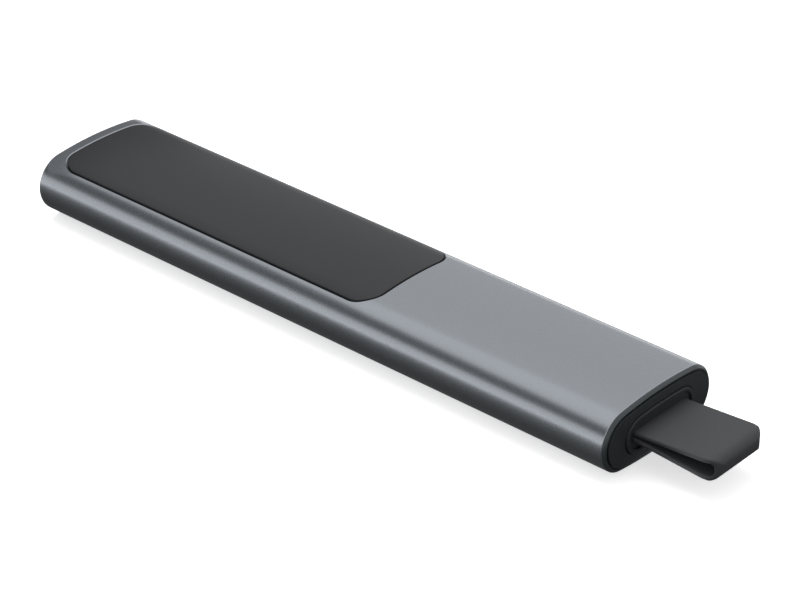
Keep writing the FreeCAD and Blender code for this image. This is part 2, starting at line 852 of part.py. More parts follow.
def switch_pieces(place):
    """Case, cover, dome and plunger of the tact switch over one button."""
    x = along(place)
    half = switch_size / 2
    case_bottom = board_bottom - switch_height
    case = block(x - half, x + half, -half, half, case_bottom, board_bottom)
    roof = board_bottom - switch_roof
    cavity = switch_cavity_width / 2
    case = case.cut(block(x - cavity, x + cavity, -cavity, cavity, case_bottom - overrun, roof))
    cover_bottom = case_bottom - switch_cover
    cover = block(x - half, x + half, -half, half, cover_bottom, case_bottom)
    hole = switch_cover_hole_width / 2
    cover = cover.cut(block(x - hole, x + hole, -hole, hole, cover_bottom - overrun, roof))
    flange_bottom = case_bottom + plunger_play
    flange_top = flange_bottom + plunger_flange
    tip = cover_bottom - plunger_tip
    wide = plunger_flange_width / 2
    narrow = plunger_width / 2
    plunger = join([
        block(x - wide, x + wide, -wide, wide, flange_bottom, flange_top),
        block(x - narrow, x + narrow, -narrow, narrow, tip, flange_bottom),
    ])
    return case, cover, make_dome(x, flange_top + dome_gap, roof), plunger


def ball(x, radius, z):
    """A sphere over the middle line, with its poles at the sides."""
    return Part.makeSphere(radius, Vector(x, 0, z), Vector(0, 1, 0))


def make_dome(x, z_apex, z_rim):
    """Thin sprung dome, rim against the case's roof and apex towards the plunger."""
    rise = z_rim - z_apex
    radius = (dome_radius ** 2 + rise ** 2) / (2 * rise)
    hollow = ball(x, radius, z_apex + radius).cut(ball(x, radius - dome_sheet, z_apex + radius))
    return hollow.common(post(x, 0, radius, z_apex - dome_sheet, z_rim))


def make_button(place, diameter, dish_depth, nub):
    """Round button cap: a dished face, a wall, two retaining tabs and a post for the switch."""
    x = along(place)
    radius = diameter / 2 - button_gap
    tab_reach = diameter / 2 + button_tab_reach
    tab_half = button_tab_width / 2
    tab_bottom = belly_height(tab_half, wall) + button_tab_clearance
    face_bottom = button_sink
    face_top = face_bottom + button_face
    tip = board_bottom - switch_height - switch_cover - plunger_tip
    body = post(x, 0, radius, face_bottom, face_bottom + button_height)
    near = button_edge_break / 10
    outer = edges_where(body, lambda p: abs(p.z - face_bottom) < near)
    body = body.makeChamfer(button_edge_break, outer)
    tabs = block(x - tab_reach, x + tab_reach, -tab_half, tab_half,
                 tab_bottom, tab_bottom + button_tab_thickness)
    cap = body.fuse(tabs)
    cap = cap.cut(post(x, 0, radius - button_wall, face_top, board_bottom))
    half = button_post_width / 2
    cap = join([cap, block(x - half, x + half, -half, half, face_top, tip)])
    dish_radius = radius - dish_margin
    ball_radius = (dish_radius ** 2 + dish_depth ** 2) / (2 * dish_depth)
    cap = cap.cut(ball(x, ball_radius, face_bottom + dish_depth - ball_radius))
    if nub:
        nub_curve = (pointer_nub_radius ** 2 + pointer_nub_height ** 2) / (2 * pointer_nub_height)
        dish_floor = face_bottom + dish_depth
        nub_top = dish_floor - pointer_nub_height
        dome = ball(x, nub_curve, nub_top + nub_curve)
        dome = dome.common(post(x, 0, pointer_nub_radius, nub_top, dish_floor + button_face / 3))
        cap = cap.fuse(dome)
    return cap


def make_button_frame():
    """Trough on the sleeve's floor that carries the board, with a round window for each button."""
    x_from = x_tail + tail_wall + chassis_tail_gap
    x_to = along(buttons_end + frame_overhang)
    inset = wall + frame_gap
    trough = body_bar(inset, x_from, x_to)
    trough = trough.cut(body_bar(inset + frame_skin, x_from + frame_skin, x_to + overrun))
    upper = block(x_from - overrun, x_to + overrun, -body_width, body_width,
                  board_bottom, body_height + overrun)
    tools = [upper]
    for place, diameter in button_row:
        window = diameter / 2 + button_tab_reach + frame_window_gap
        tools.append(post(along(place), 0, window, -overrun, board_bottom + overrun))
    for side in (-1, 1):
        tools.append(post(along(boss_place), side * boss_y, screw_head_radius + screw_clearance,
                          board_bottom - screw_head_height - screw_clearance,
                          board_bottom + overrun))
    x_led = along(led_place)
    half = light_pipe_flange_width / 2 + light_pipe_gap
    tools.append(block(x_led - half, x_led + half, -half, half, -overrun, board_bottom + overrun))
    return cut_all(trough, tools)


def make_chassis():
    """Rails, ribs and bosses that hold the board down and the battery and motor in place."""
    x_from = x_tail + tail_wall + chassis_tail_gap
    x_to = x_bay_back
    z_top = z_mid + rail_top
    shape = body_bar(rail_outer_inset, x_from, x_to)
    shape = shape.common(block(x_from, x_to, -body_width, body_width, board_top, z_top))
    shape = shape.cut(block(x_from + rail_thickness, x_to + overrun, -rail_inner_half,
                            rail_inner_half, board_top - overrun, z_top + overrun))
    pads = bay_pads()
    rib_top = board_top + rib_height
    reach = rail_inner_half + rail_thickness / 2
    x_lead_rib = x_guard - cell_rib_gap - rib_thickness / 2
    x_ribs = [along(place) for place in rib_places]
    x_ribs += [x_lead_rib, x_cell_back + cell_rib_gap + rib_thickness / 2]
    pieces = [shape] + pads
    for x in x_ribs:
        pieces.append(block(x - rib_thickness / 2, x + rib_thickness / 2, -reach, reach,
                            board_top, rib_top))
    for side in (-1, 1):
        pieces.append(post(along(boss_place), side * boss_y, boss_radius, board_top, z_top))
    x_motor = along(motor_place)
    cradle_top = board_top + motor_cradle_height
    pieces.append(block(x_motor - cradle_half, x_motor + cradle_half, -cradle_half, cradle_half,
                        board_top, cradle_top))
    pieces.append(block(x_motor - rib_thickness / 2, x_motor + rib_thickness / 2, -reach, reach,
                        board_top, cradle_top))
    whole = join(pieces)
    well = motor_radius + motor_cradle_gap
    tools = [block(x_motor - well, x_motor + well, -well, well,
                   board_top - overrun, z_top + overrun)]
    for side in (-1, 1):
        tools.append(post(along(boss_place), side * boss_y, screw_radius,
                          board_top - overrun, board_top + screw_length - board_thickness))
        tools.append(post(bay_screw_x, side * bay_screw_y, screw_radius,
                          ear_floor + bay_ear_thickness - bay_screw_length, z_top))
    slot_half = guard_board_width / 2
    tools.append(block(x_lead_rib - rib_thickness, x_guard, -slot_half, slot_half,
                       board_top - overrun, rib_top + overrun))
    flex_half = motor_flex_width / 2 + motor_cradle_gap
    tools.append(block(x_motor - cradle_half - overrun, x_motor, -flex_half, flex_half,
                       board_top - overrun, z_top + overrun))
    for place in rib_places:
        x = along(place)
        tools.append(block(x - rib_thickness, x + rib_thickness, -radio_size, radio_size,
                           board_top - overrun, rib_top - rib_thickness))
    return cut_all(whole, tools)


def bay_pads():
    """Feet on the chassis that the bay's ears are screwed down to."""
    x_from = x_bay_back - bay_ear_length
    reach = rail_inner_half + rail_thickness / 2
    pads = []
    for side in (-1, 1):
        y_in = side * (bay_screw_y - bay_ear_width / 2)
        y_low, y_high = sorted((y_in, side * reach))
        pads.append(block(x_from, x_bay_back, y_low, y_high, board_top, ear_floor))
    return pads


def screw(x, y, z_head, up, length):
    """Cross-head screw. up is 1 if the shank points up from its head, and -1 if it points down."""
    z_seat = z_head + up * screw_head_height
    head = post(x, y, screw_head_radius, *sorted((z_head, z_seat)))
    shank = post(x, y, screw_radius - screw_clearance / 2,
                 *sorted((z_seat, z_seat + up * length)))
    half = screw_recess_width / 2
    reach = screw_head_radius - screw_recess_width
    z_low, z_high = sorted((z_head - up * overrun, z_head + up * screw_recess_depth))
    cross = [
        block(x - reach, x + reach, y - half, y + half, z_low, z_high),
        block(x - half, x + half, y - reach, y + reach, z_low, z_high),
    ]
    return cut_all(head.fuse(shank), cross)


def make_board_screws():
    """Screws up through the board into the chassis bosses."""
    z_head = board_bottom - screw_head_height
    return Part.Compound([
        screw(along(boss_place), side * boss_y, z_head, 1, screw_length) for side in (-1, 1)
    ])


def make_bay_screws():
    """Screws down through the bay's ears into the chassis."""
    z_head = ear_floor + bay_ear_thickness + screw_head_height
    return Part.Compound([
        screw(bay_screw_x, side * bay_screw_y, z_head, -1, bay_screw_length) for side in (-1, 1)
    ])


def make_usb_pieces():
    """Charging socket at the back of the bay: steel shell, moulded tongue and contact bars."""
    x_front = x_bay_floor
    x_rear = x_front - usb_length
    shell = bar_x(usb_width, usb_height, usb_corner_radius, x_rear, x_front)
    shell = shell.cut(bar_x(
        usb_width - 2 * usb_sheet, usb_height - 2 * usb_sheet, usb_corner_radius - usb_sheet,
        x_rear - overrun, x_front + overrun,
    ))
    block_end = x_rear + usb_rear_block
    rear = bar_x(usb_width - 2 * usb_sheet, usb_height - 2 * usb_sheet,
                 usb_corner_radius - usb_sheet, x_rear, block_end)
    half = usb_tongue_width / 2
    z_half = usb_tongue_thickness / 2
    tongue = block(x_rear, x_front - usb_tongue_setback, -half, half, z_mid - z_half, z_mid + z_half)
    contacts = []
    x_from = block_end
    for index in range(usb_contact_count):
        y = (index - (usb_contact_count - 1) / 2) * usb_contact_pitch
        for side in (-1, 1):
            z_low, z_high = sorted((side * z_half, side * (z_half + usb_contact_thickness)))
            contacts.append(block(
                x_from, x_from + usb_contact_length,
                y - usb_contact_width / 2, y + usb_contact_width / 2,
                z_mid + z_low, z_mid + z_high,
            ))
    return shell, join([rear, tongue]), Part.Compound(contacts)


def make_cell():
    """Battery pouch with rounded corners."""
    return slab_z(x_cell_front, x_cell_back, cell_width, cell_corner_radius,
                  cell_floor, cell_floor + cell_thickness)


def make_cell_tape():
    """Foam tape between the battery and the board."""
    return slab_z(x_cell_front + cell_tape_margin, x_cell_back - cell_tape_margin,
                  cell_width - 2 * cell_tape_margin, cell_corner_radius, board_top, cell_floor)


def make_guard_board():
    """Protection board across the end of the battery."""
    half = guard_board_width / 2
    bottom = board_top + guard_board_lift
    return block(x_guard, x_cell_front, -half, half, bottom, bottom + guard_board_height)


def make_connector():
    """Lead connector on the board."""
    half = connector_width / 2
    return block(x_connector, x_lead_start, -half, half, board_top, board_top + connector_height)


def make_cell_lead(side):
    """Insulated lead from the protection board straight to the connector."""
    start = Vector(x_lead_start, side * lead_spacing / 2, board_top + connector_height / 2)
    print("lead length", lead_reach)
    return Part.makeCylinder(lead_radius, lead_reach, start, Vector(1, 0, 0))


def motor_levels():
    """Heights of the motor's base, its can's floor and its can's top."""
    base = board_top + motor_tape_thickness
    return base, base + motor_base, base + motor_height


def make_motor_pieces():
    """Coin motor: base plate, can, shaft, eccentric rotor and the tape that it stands on."""
    x = along(motor_place)
    base, floor, top = motor_levels()
    half = motor_radius / 2
    tape = block(x - half, x + half, -half, half, board_top, base)
    plate = post(x, 0, motor_radius, base, floor)
    can = post(x, 0, motor_radius, floor, top)
    can = can.cut(post(x, 0, motor_radius - motor_sheet, floor - overrun, top - motor_sheet))
    shaft = post(x, 0, motor_shaft_radius, floor, top - motor_sheet)
    rotor_floor = floor + rotor_lift
    rotor = post(x, 0, rotor_radius, rotor_floor, rotor_floor + rotor_thickness)
    half_away = block(x - rotor_radius, x - motor_shaft_radius * 2, -rotor_radius, rotor_radius,
                      rotor_floor - overrun, rotor_floor + rotor_thickness + overrun)
    rotor = rotor.cut(half_away)
    rotor = rotor.cut(post(x, 0, motor_shaft_radius + rotor_bore_gap, floor, top))
    return tape, plate, can, shaft, rotor


def make_motor_leads():
    """Flat flexible lead from under the motor's base, lying on the board."""
    x_edge = along(motor_place) - motor_radius / 2
    half = motor_flex_width / 2
    return block(x_edge - motor_flex_length, x_edge, -half, half, board_top,
                 board_top + motor_tape_thickness)


def chip(place, y, length, width, height):
    """A chip or small part that lies on the board."""
    x = along(place)
    return block(x - length / 2, x + length / 2, y - width / 2, y + width / 2,
                 board_top, board_top + height)


def make_shield():
    """Folded metal can over the radio chip, open below."""
    outer = radio_size / 2 + shield_gap + shield_wall
    inner = outer - shield_wall
    x = along(radio_place)
    top = board_top + shield_height
    can = block(x - outer, x + outer, -outer, outer, board_top, top)
    return can.cut(block(x - inner, x + inner, -inner, inner, board_top - overrun,
                         top - shield_wall))


def make_passives():
    """Rows of small capacitors and resistors beside the motion sensor."""
    parts = []
    row = rail_inner_half - passive_rail_gap - passive_length / 2
    for column in range(passive_columns):
        for side in (-1, 1):
            parts.append(chip(passive_place - column * passive_pitch, side * row,
                              passive_width, passive_length, passive_height))
    return Part.Compound(parts)


def make_led():
    """Status light on the underside of the board."""
    x = along(led_place)
    half = led_size / 2
    return block(x - half, x + half, -half, half, board_bottom - led_height, board_bottom)


def make_light_pipe():
    """Clear rod that carries the status light through the sleeve."""
    x = along(led_place)
    top = board_bottom - led_height
    half = light_pipe_flange_width / 2
    floor = belly_height(half, wall) + light_pipe_gap
    rod = post(x, 0, light_pipe_radius, button_sink, top)
    flange = block(x - half, x + half, -half, half, floor, floor + light_pipe_flange)
    return join([rod, flange])


def save(name, shape):
    """Writes one node and prints what it holds."""
    shape.exportStep(os.path.join("parts", name + ".step"))
    print(name, len(shape.Solids), "solids", round(shape.Volume, 2), "mm3", shape.isValid())


def main():
    os.makedirs("parts", exist_ok=True)
    save("housing_sleeve", make_sleeve())
    save("rear_panel", make_panel())
    save("panel_tape", make_panel_tape())
    save("end_bezel", make_bezel())
    save("receiver_bay", make_bay())
    save("chassis_frame", make_chassis())
    save("button_frame", make_button_frame())
    save("main_board", make_board())
    save("board_screws", make_board_screws())
    save("bay_screws", make_bay_screws())
    buttons = (
        ("pointer", pointer_place, pointer_diameter, pointer_dish_depth, True),
        ("next", next_place, next_diameter, next_dish_depth, False),
        ("back", back_place, back_diameter, back_dish_depth, False),
    )
    for name, place, diameter, dish_depth, nub in buttons:
        case, cover, dome, plunger = switch_pieces(place)
        save(name + "_button", make_button(place, diameter, dish_depth, nub))
        save(name + "_switch_case", case)
        save(name + "_switch_cover", cover)
        save(name + "_switch_dome", dome)
        save(name + "_switch_plunger", plunger)
    usb_shell, usb_tongue, usb_contacts = make_usb_pieces()
    save("charge_socket_shell", usb_shell)
    save("charge_socket_tongue", usb_tongue)
    save("charge_socket_contacts", usb_contacts)
    save("battery_cell", make_cell())
    save("battery_tape", make_cell_tape())
    save("battery_guard_board", make_guard_board())
    save("battery_lead_red", make_cell_lead(1))
    save("battery_lead_black", make_cell_lead(-1))
    save("battery_connector", make_connector())
    tape, plate, can, shaft, rotor = make_motor_pieces()
    save("motor_tape", tape)
    save("motor_base", plate)
    save("motor_can", can)
    save("motor_shaft", shaft)
    save("motor_rotor", rotor)
    save("motor_leads", make_motor_leads())
    save("radio_chip", chip(radio_place, 0, radio_size, radio_size, radio_height))
    save("radio_shield", make_shield())
    save("motion_sensor", chip(sensor_place, 0, sensor_size, sensor_size, sensor_height))
    charger_place = x_connector - x_tail + connector_length / 2
    charger_y = connector_width / 2 + charger_gap + charger_size / 2
    save("charger_chip", chip(charger_place, charger_y, charger_size, charger_size,
                              charger_height))
    save("clock_crystal", chip(crystal_place, 0, crystal_length, crystal_width, crystal_height))
    save("chip_antenna", chip(antenna_place, 0, antenna_length, antenna_width, antenna_height))
    save("board_passives", make_passives())
    save("status_led", make_led())
    save("light_pipe", make_light_pipe())
    save("receiver_housing", make_receiver_housing())
    save("receiver_end_plug", make_end_plug())
    save("plug_shell", make_plug_shell())
    save("plug_tongue", make_plug_tongue())
    save("plug_contacts", Part.Compound(plug_contact_bars()))
    receiver_board, receiver_chip = make_receiver_board_and_chip()
    save("receiver_board", receiver_board)
    save("receiver_chip", receiver_chip)
    save("strap_pin", make_strap_pin())
    save("strap", make_strap())


main()
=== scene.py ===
import math

import bmesh
import bpy
import numpy as np
from mathutils import Matrix, Vector


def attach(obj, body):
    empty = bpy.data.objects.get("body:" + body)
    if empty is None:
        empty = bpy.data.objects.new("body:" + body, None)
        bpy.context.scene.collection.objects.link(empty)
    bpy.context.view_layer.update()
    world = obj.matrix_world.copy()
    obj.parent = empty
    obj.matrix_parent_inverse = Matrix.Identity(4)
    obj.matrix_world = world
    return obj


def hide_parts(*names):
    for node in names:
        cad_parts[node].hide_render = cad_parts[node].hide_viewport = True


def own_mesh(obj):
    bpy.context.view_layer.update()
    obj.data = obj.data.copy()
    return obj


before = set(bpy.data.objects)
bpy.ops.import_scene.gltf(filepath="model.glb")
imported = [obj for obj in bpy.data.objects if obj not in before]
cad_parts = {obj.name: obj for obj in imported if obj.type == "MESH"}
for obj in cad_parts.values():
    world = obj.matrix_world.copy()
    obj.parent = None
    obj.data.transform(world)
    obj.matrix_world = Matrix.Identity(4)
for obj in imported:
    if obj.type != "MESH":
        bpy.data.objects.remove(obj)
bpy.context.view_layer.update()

# --- Camera ---
# The photograph looks down on the clicker from in front and to the right, through a long lens.
# Angles, lens and place were fitted to the outlines of the body, the panel and the strap. The aim
# is a point of the body in millimetres, seen_aim the same point along the camera's own axes.
camera_azimuth = math.radians(41.589)
camera_elevation = math.radians(30.745)
camera_roll = math.radians(0.04)
focal_length = 130.13
sensor_width = 36
aim = Vector((-7.8, 0, 6.05))
seen_aim = Vector((-7.42, 3.155, -498.53))
back = Vector((math.sin(camera_azimuth) * math.cos(camera_elevation),
               -math.cos(camera_azimuth) * math.cos(camera_elevation),
               math.sin(camera_elevation)))
right = Vector((0, 0, 1)).cross(back).normalized()
up = back.cross(right)
roll = Matrix.Rotation(camera_roll, 3, back)
axes = Matrix((roll @ right, roll @ up, back)).transposed()
place = aim - axes @ seen_aim
lens = bpy.data.cameras.new("camera")
lens.lens = focal_length
lens.sensor_width = sensor_width
camera = bpy.data.objects.new("camera", lens)
camera.matrix_world = Matrix.Translation(place / 1000) @ axes.to_4x4()
scene = bpy.context.scene
scene.collection.objects.link(camera)
scene.camera = camera
scene.view_settings.view_transform = "Standard"


# --- Room: sky, floor, cards and lamps ---
# A white tent and a white paper sweep, which the camera and the metal both see. Cards that only
# reflections see stand for the studio's flags and nets: they put the dark bands on the metal.
# Lengths are in metres. The floor and the cards on it lie just under the rest face, each at a
# height of its own, so that none of them crosses the clicker or another card.
floor_reach = 2
floor_height = -0.0001
card_height = -0.00007
end_card_height = -0.00004
card_reach = 0.12
card_distance = 2
tent_light = 0.6
paper_lift = 0.6


def add(tree, kind, inputs=None, **settings):
    """Adds a shader node: settings are its properties, and each input is a value or an output."""
    new = tree.nodes.new(kind)
    for name, value in settings.items():
        setattr(new, name, value)
    for name, value in (inputs or {}).items():
        socket = new.inputs[name]
        if isinstance(value, bpy.types.NodeSocket):
            tree.links.new(value, socket)
        else:
            socket.default_value = value
    return new


def colour(code):
    """Linear RGBA of an sRGB hex code: above 0.04045 a channel is ((c + 0.055) / 1.055) ** 2.4."""
    channels = [int(code[k:k + 2], 16) / 255 for k in (1, 3, 5)]
    return (*[c / 12.92 if c <= 0.04045 else ((c + 0.055) / 1.055) ** 2.4 for c in channels], 1)


def seen_directly(tree):
    """1 for a ray from the camera, a reflection or a pass through something clear, otherwise 0."""
    ray = add(tree, "ShaderNodeLightPath")
    mirrored = add(tree, "ShaderNodeMath", {0: ray.outputs["Is Glossy Ray"],
                                            1: ray.outputs["Is Transmission Ray"]},
                   operation="MAXIMUM")
    return add(tree, "ShaderNodeMath", {0: ray.outputs["Is Camera Ray"], 1: mirrored.outputs[0]},
               operation="MAXIMUM").outputs[0]


world = bpy.data.worlds.new("white tent")
scene.world = world
world.use_nodes = True
tree = world.node_tree
tree.nodes.clear()
light_level = add(tree, "ShaderNodeBackground", {"Color": (1, 1, 1, 1), "Strength": tent_light})
seen = add(tree, "ShaderNodeBackground", {"Color": (1, 1, 1, 1), "Strength": 1})
pick = add(tree, "ShaderNodeMixShader", {0: seen_directly(tree), 1: light_level.outputs[0],
                                         2: seen.outputs[0]})
add(tree, "ShaderNodeOutputWorld", {"Surface": pick.outputs[0]})

# Paper: pure white where it is seen, dark grey as a source of light, and clear from below.
paper = bpy.data.materials.new("matt white paper sweep")
paper.use_nodes = True
tree = paper.node_tree
tree.nodes.clear()
white = add(tree, "ShaderNodeBsdfDiffuse", {"Color": (1, 1, 1, 1)})
lift = add(tree, "ShaderNodeEmission", {"Color": (1, 1, 1, 1), "Strength": paper_lift})
lit = add(tree, "ShaderNodeAddShader", {0: white.outputs[0], 1: lift.outputs[0]})
dark = add(tree, "ShaderNodeBsdfDiffuse", {"Color": colour("#303234")})
away = add(tree, "ShaderNodeMixShader", {0: seen_directly(tree), 1: dark.outputs[0],
                                         2: lit.outputs[0]})
below = add(tree, "ShaderNodeBsdfTransparent")
facing = add(tree, "ShaderNodeNewGeometry").outputs["Backfacing"]
both = add(tree, "ShaderNodeMixShader", {0: facing, 1: away.outputs[0], 2: below.outputs[0]})
add(tree, "ShaderNodeOutputMaterial", {"Surface": both.outputs[0]})
floor_mesh = bpy.data.meshes.new("floor")
floor_mesh.from_pydata([(floor_reach * x, floor_reach * y, floor_height)
                        for x, y in ((-1, -1), (1, -1), (1, 1), (-1, 1))], [], [(0, 1, 2, 3)])
floor_mesh.materials.append(paper)
floor = bpy.data.objects.new("floor", floor_mesh)
floor.visible_shadow = False
scene.collection.objects.link(floor)


def tone(name, under, near=None, far=None):
    """A card's own tone, 1 for white: under alone, or a tone that changes in plain proportion to
    the distance from the clicker's middle line, from under at 3 mm to near at 9 mm, and from near
    at 16 mm to far at 75 mm."""
    near, far = near or under, far or under
    material = bpy.data.materials.new(name)
    material.use_nodes = True
    tree = material.node_tree
    tree.nodes.clear()
    place = add(tree, "ShaderNodeTexCoord").outputs["Object"]
    across = add(tree, "ShaderNodeSeparateXYZ", {"Vector": place}).outputs["Y"]
    away = add(tree, "ShaderNodeMath", {0: across}, operation="ABSOLUTE").outputs[0]
    first = add(tree, "ShaderNodeMapRange", {"Value": away, "From Min": 0.003, "From Max": 0.009,
                                             "To Min": under, "To Max": near}).outputs["Result"]
    then = add(tree, "ShaderNodeMapRange", {"Value": away, "From Min": 0.016, "From Max": 0.075,
                                            "To Min": near, "To Max": far}).outputs["Result"]
    level = add(tree, "ShaderNodeMath", {0: first, 1: then}, operation="MAXIMUM").outputs[0]
    shine = add(tree, "ShaderNodeEmission", {"Color": (1, 1, 1, 1), "Strength": level})
    add(tree, "ShaderNodeOutputMaterial", {"Surface": shine.outputs[0]})
    return material


def card(name, corners, felt):
    """A card between four corners, seen by reflections alone."""
    mesh = bpy.data.meshes.new(name)
    mesh.from_pydata(corners, [], [(0, 1, 2, 3)])
    mesh.materials.append(felt)
    board = bpy.data.objects.new(name, mesh)
    board.visible_camera = board.visible_diffuse = board.visible_shadow = False
    board.visible_transmission = False
    scene.collection.objects.link(board)


def standing(toward, low, high, half_width):
    """Corners of a card that stands far off in the plan direction toward, between two elevations
    in degrees."""
    toward = Vector(toward).normalized()
    upward = Vector((0, 0, 1))
    along = toward.cross(upward)
    corners = []
    for elevation, way in ((low, -1), (low, 1), (high, 1), (high, -1)):
        lean = math.radians(elevation)
        corners.append(card_distance * (math.cos(lean) * toward + math.sin(lean) * upward)
                       + way * half_width * along)
    return corners


def lying(x_low, x_high, y_half, height):
    """Corners of a card on the table, as high above it as said, in metres."""
    return [(x_low, -y_half, height), (x_high, -y_half, height),
            (x_high, y_half, height), (x_low, y_half, height)]


# Felt and net: flat tones without any gloss, so that each puts one soft band on the metal.
black_felt = tone("black felt", 0.09)
card("card in front", standing((-0.75, -0.66, 0), 19, 44, 1.2), tone("dark felt", 0.12))
card("net behind", standing((-0.57, 0.64, 0), 2, 50, 1.2), tone("grey net", 0.75))
card("card on the table", lying(-card_reach, card_reach, 0.075, card_height),
     tone("felt that fades", 0.7, 0.09, 0.6))
card("card at the mouth", lying(0.0585, card_reach, 0.014, end_card_height), black_felt)
card("card at the tail", lying(-card_reach, -0.074, 0.014, end_card_height), black_felt)
card("flag past the tail", [(-0.0748, y, z) for y, z in (
    (-0.016, 0.0118), (0.03, 0.0118), (0.03, 0.02), (-0.016, 0.02))], tone("grey felt", 0.3))


def lamp(name, spot, target, size, power):
    """A square soft box that faces a point and leaves no highlight: metres and watts."""
    light = bpy.data.lights.new(name, "AREA")
    light.shape = "SQUARE"
    light.size = size
    light.energy = power
    box = bpy.data.objects.new(name, light)
    aim = Vector(target) - Vector(spot)
    box.matrix_world = Matrix.Translation(spot) @ aim.to_track_quat("-Z", "Y").to_matrix().to_4x4()
    box.visible_glossy = False
    scene.collection.objects.link(box)


lamp("overhead soft box", (-0.25, 0.1, 0.7), (0, 0, 0), 0.6, 2.5)
lamp("low lamp for the buttons", (-0.5, -0.3, -0.28), (-0.03, 0, 0), 0.25, 8)


# --- Sleeve ---
# The body is one drawn aluminium tube with a crowned section, closed and rounded at the tail,
# bead-blasted and anodised grey, with a rebated window on top and round wells underneath.
mm = 0.001
body_length = 131.3
body_width = 28.1
body_height = 12.1
section_height = 12.2
crown_radius = 75.0
wall = 1.2
tail_wall = 1.6
tail_edge_radius = 0.45
mouth_edge_break = 0.14
window_edge_break = 0.14
strap_reach = 15.6
sleeve_setback = 1.15
panel_margin = 2.45
panel_length = 75.8
panel_width = 22.4
panel_corner_radius = 4.26
panel_gap = 0.16
rebate_depth = 0.75
ledge_width = 1.2
well_edge_break = 0.08
x_tail = -(body_length + strap_reach) / 2
x_mouth = x_tail + body_length
x_sleeve_end = x_mouth - sleeve_setback
z_mid = body_height - section_height / 2
button_x = {"pointer": x_tail + 20.5, "next": x_tail + 38.5, "back": x_tail + 56.5}
button_hole = {"pointer": 6.0, "next": 8.3, "back": 6.0}
led_x = x_tail + 9.5
led_hole = 0.61
# The grid's lines follow these boxes: a hole's and the window's half length and half width.
led_box = 1.6
small_length, small_width = 7.3, 6.94
large_box = 9.7
window_half = 12.2
x_window_low, x_window_high = x_tail + 1.4, 7.0
x_ledge_low = x_tail + 2.6
# Points this near are one point, and an edge that turns by more than the angle stays sharp.
join_distance = 0.004
sharp_angle = math.radians(32)


def pill(width, height, crown):
    """An outline of four tangent arcs: its crown and side radii, the side's centre, the drop of
    the crown's centre, the lean where crown and side meet, and the length of a quarter."""
    drop = crown - height / 2
    side = (crown ** 2 - (width / 2) ** 2 - drop ** 2) / (2 * crown - width)
    centre = width / 2 - side
    lean = math.atan2(centre, drop)
    return crown, side, centre, drop, lean, crown * lean + side * (math.pi / 2 - lean)


body = pill(body_width, section_height, crown_radius)


def skin(x, s, inset=0, half=1, outline=body):
    """Points of an outline's upper (1) or lower (-1) half, moved in by inset. s is the run from the
    middle line; the normal's turn from upright is s over the radius, first of the crown and then
    of the side, and the point is the arc's centre plus the radius in that direction."""
    crown, side, centre, drop, lean, quarter = outline
    turn = np.interp(np.abs(s), (0, crown * lean, quarter), (0, lean, np.pi / 2))
    on_crown = turn < lean
    radius = np.where(on_crown, crown, side) - inset
    y = np.where(on_crown, 0, centre) + radius * np.sin(turn)
    z = np.where(on_crown, -drop, 0) + radius * np.cos(turn)
    x, y, z = np.broadcast_arrays(x, np.sign(s) * y, z_mid + half * z)
    return np.stack([x, y, np.maximum(z, 0)], axis=-1)


def run(y, inset=0, outline=body):
    """The run s along an outline to the place that is y from the middle line in plan."""
    crown, side, centre, _, lean, _ = outline
    reach = np.abs(y)
    on_side = np.clip((reach - centre) / (side - inset), 0, 1)
    past = crown * lean + side * (np.arcsin(on_side) - lean)
    near = crown * np.arcsin(np.clip(reach / (crown - inset), 0, 1))
    return np.sign(y) * np.where(near < crown * lean, near, past)


def plan_loop(middle, half_x, half_y, radius, rim_x, rim_y):
    """Plan points round a rounded rectangle, one for each point of the rectangle rim_x by rim_y
    about it. Along a side the run t is cut to the straight part, and what is left over, divided
    by the radius, is the angle turned on the corner."""
    sides = []
    for quarter in range(4):
        if quarter % 2:
            u, along, across = rim_y, half_y, half_x
        else:
            u, along, across = rim_x - middle, half_x, half_y
        if quarter > 1:
            u = -u[::-1]
        straight = along - radius
        reach = straight + radius * math.pi / 4
        t = np.interp(u, (u[0], -straight, straight, u[-1]), (-reach, -straight, straight, reach))
        flat = np.clip(t, -straight, straight)
        angle = (t - flat) / radius
        u = flat + radius * np.sin(angle)
        v = radius * (1 - np.cos(angle)) - across
        x, y = ((u, v), (-v, u), (-u, -v), (v, -u))[quarter]
        sides.append(np.stack([middle + x, y], axis=-1)[:-1])
    loop = np.concatenate(sides)
    return np.concatenate([loop, loop[:1]])


def plan_rectangle(rim_x, rim_y):
    """Plan points round the rectangle rim_x by rim_y, in the same order as plan_loop's."""
    low, high = np.full_like(rim_x, rim_y[0]), np.full_like(rim_x, rim_y[-1])
    near, far = np.full_like(rim_y, rim_x[0]), np.full_like(rim_y, rim_x[-1])
    sides = [(rim_x, low), (far, rim_y), (rim_x[::-1], high), (near, rim_y[::-1])]
    loop = np.concatenate([np.stack(side, axis=-1)[:-1] for side in sides])
    return np.concatenate([loop, loop[:1]])


def stations(marks):
    """Places from one mark to the next, each mark a place and the number of steps up to it."""
    runs = [np.linspace(a[0], b[0], b[1] + 1)[1:] for a, b in zip(marks, marks[1:])]
    return np.concatenate([[marks[0][0]]] + runs)


def between(places, low, high):
    """Indices of the stations nearest to low and high."""
    return int(np.argmin(np.abs(places - low))), int(np.argmin(np.abs(places - high)))


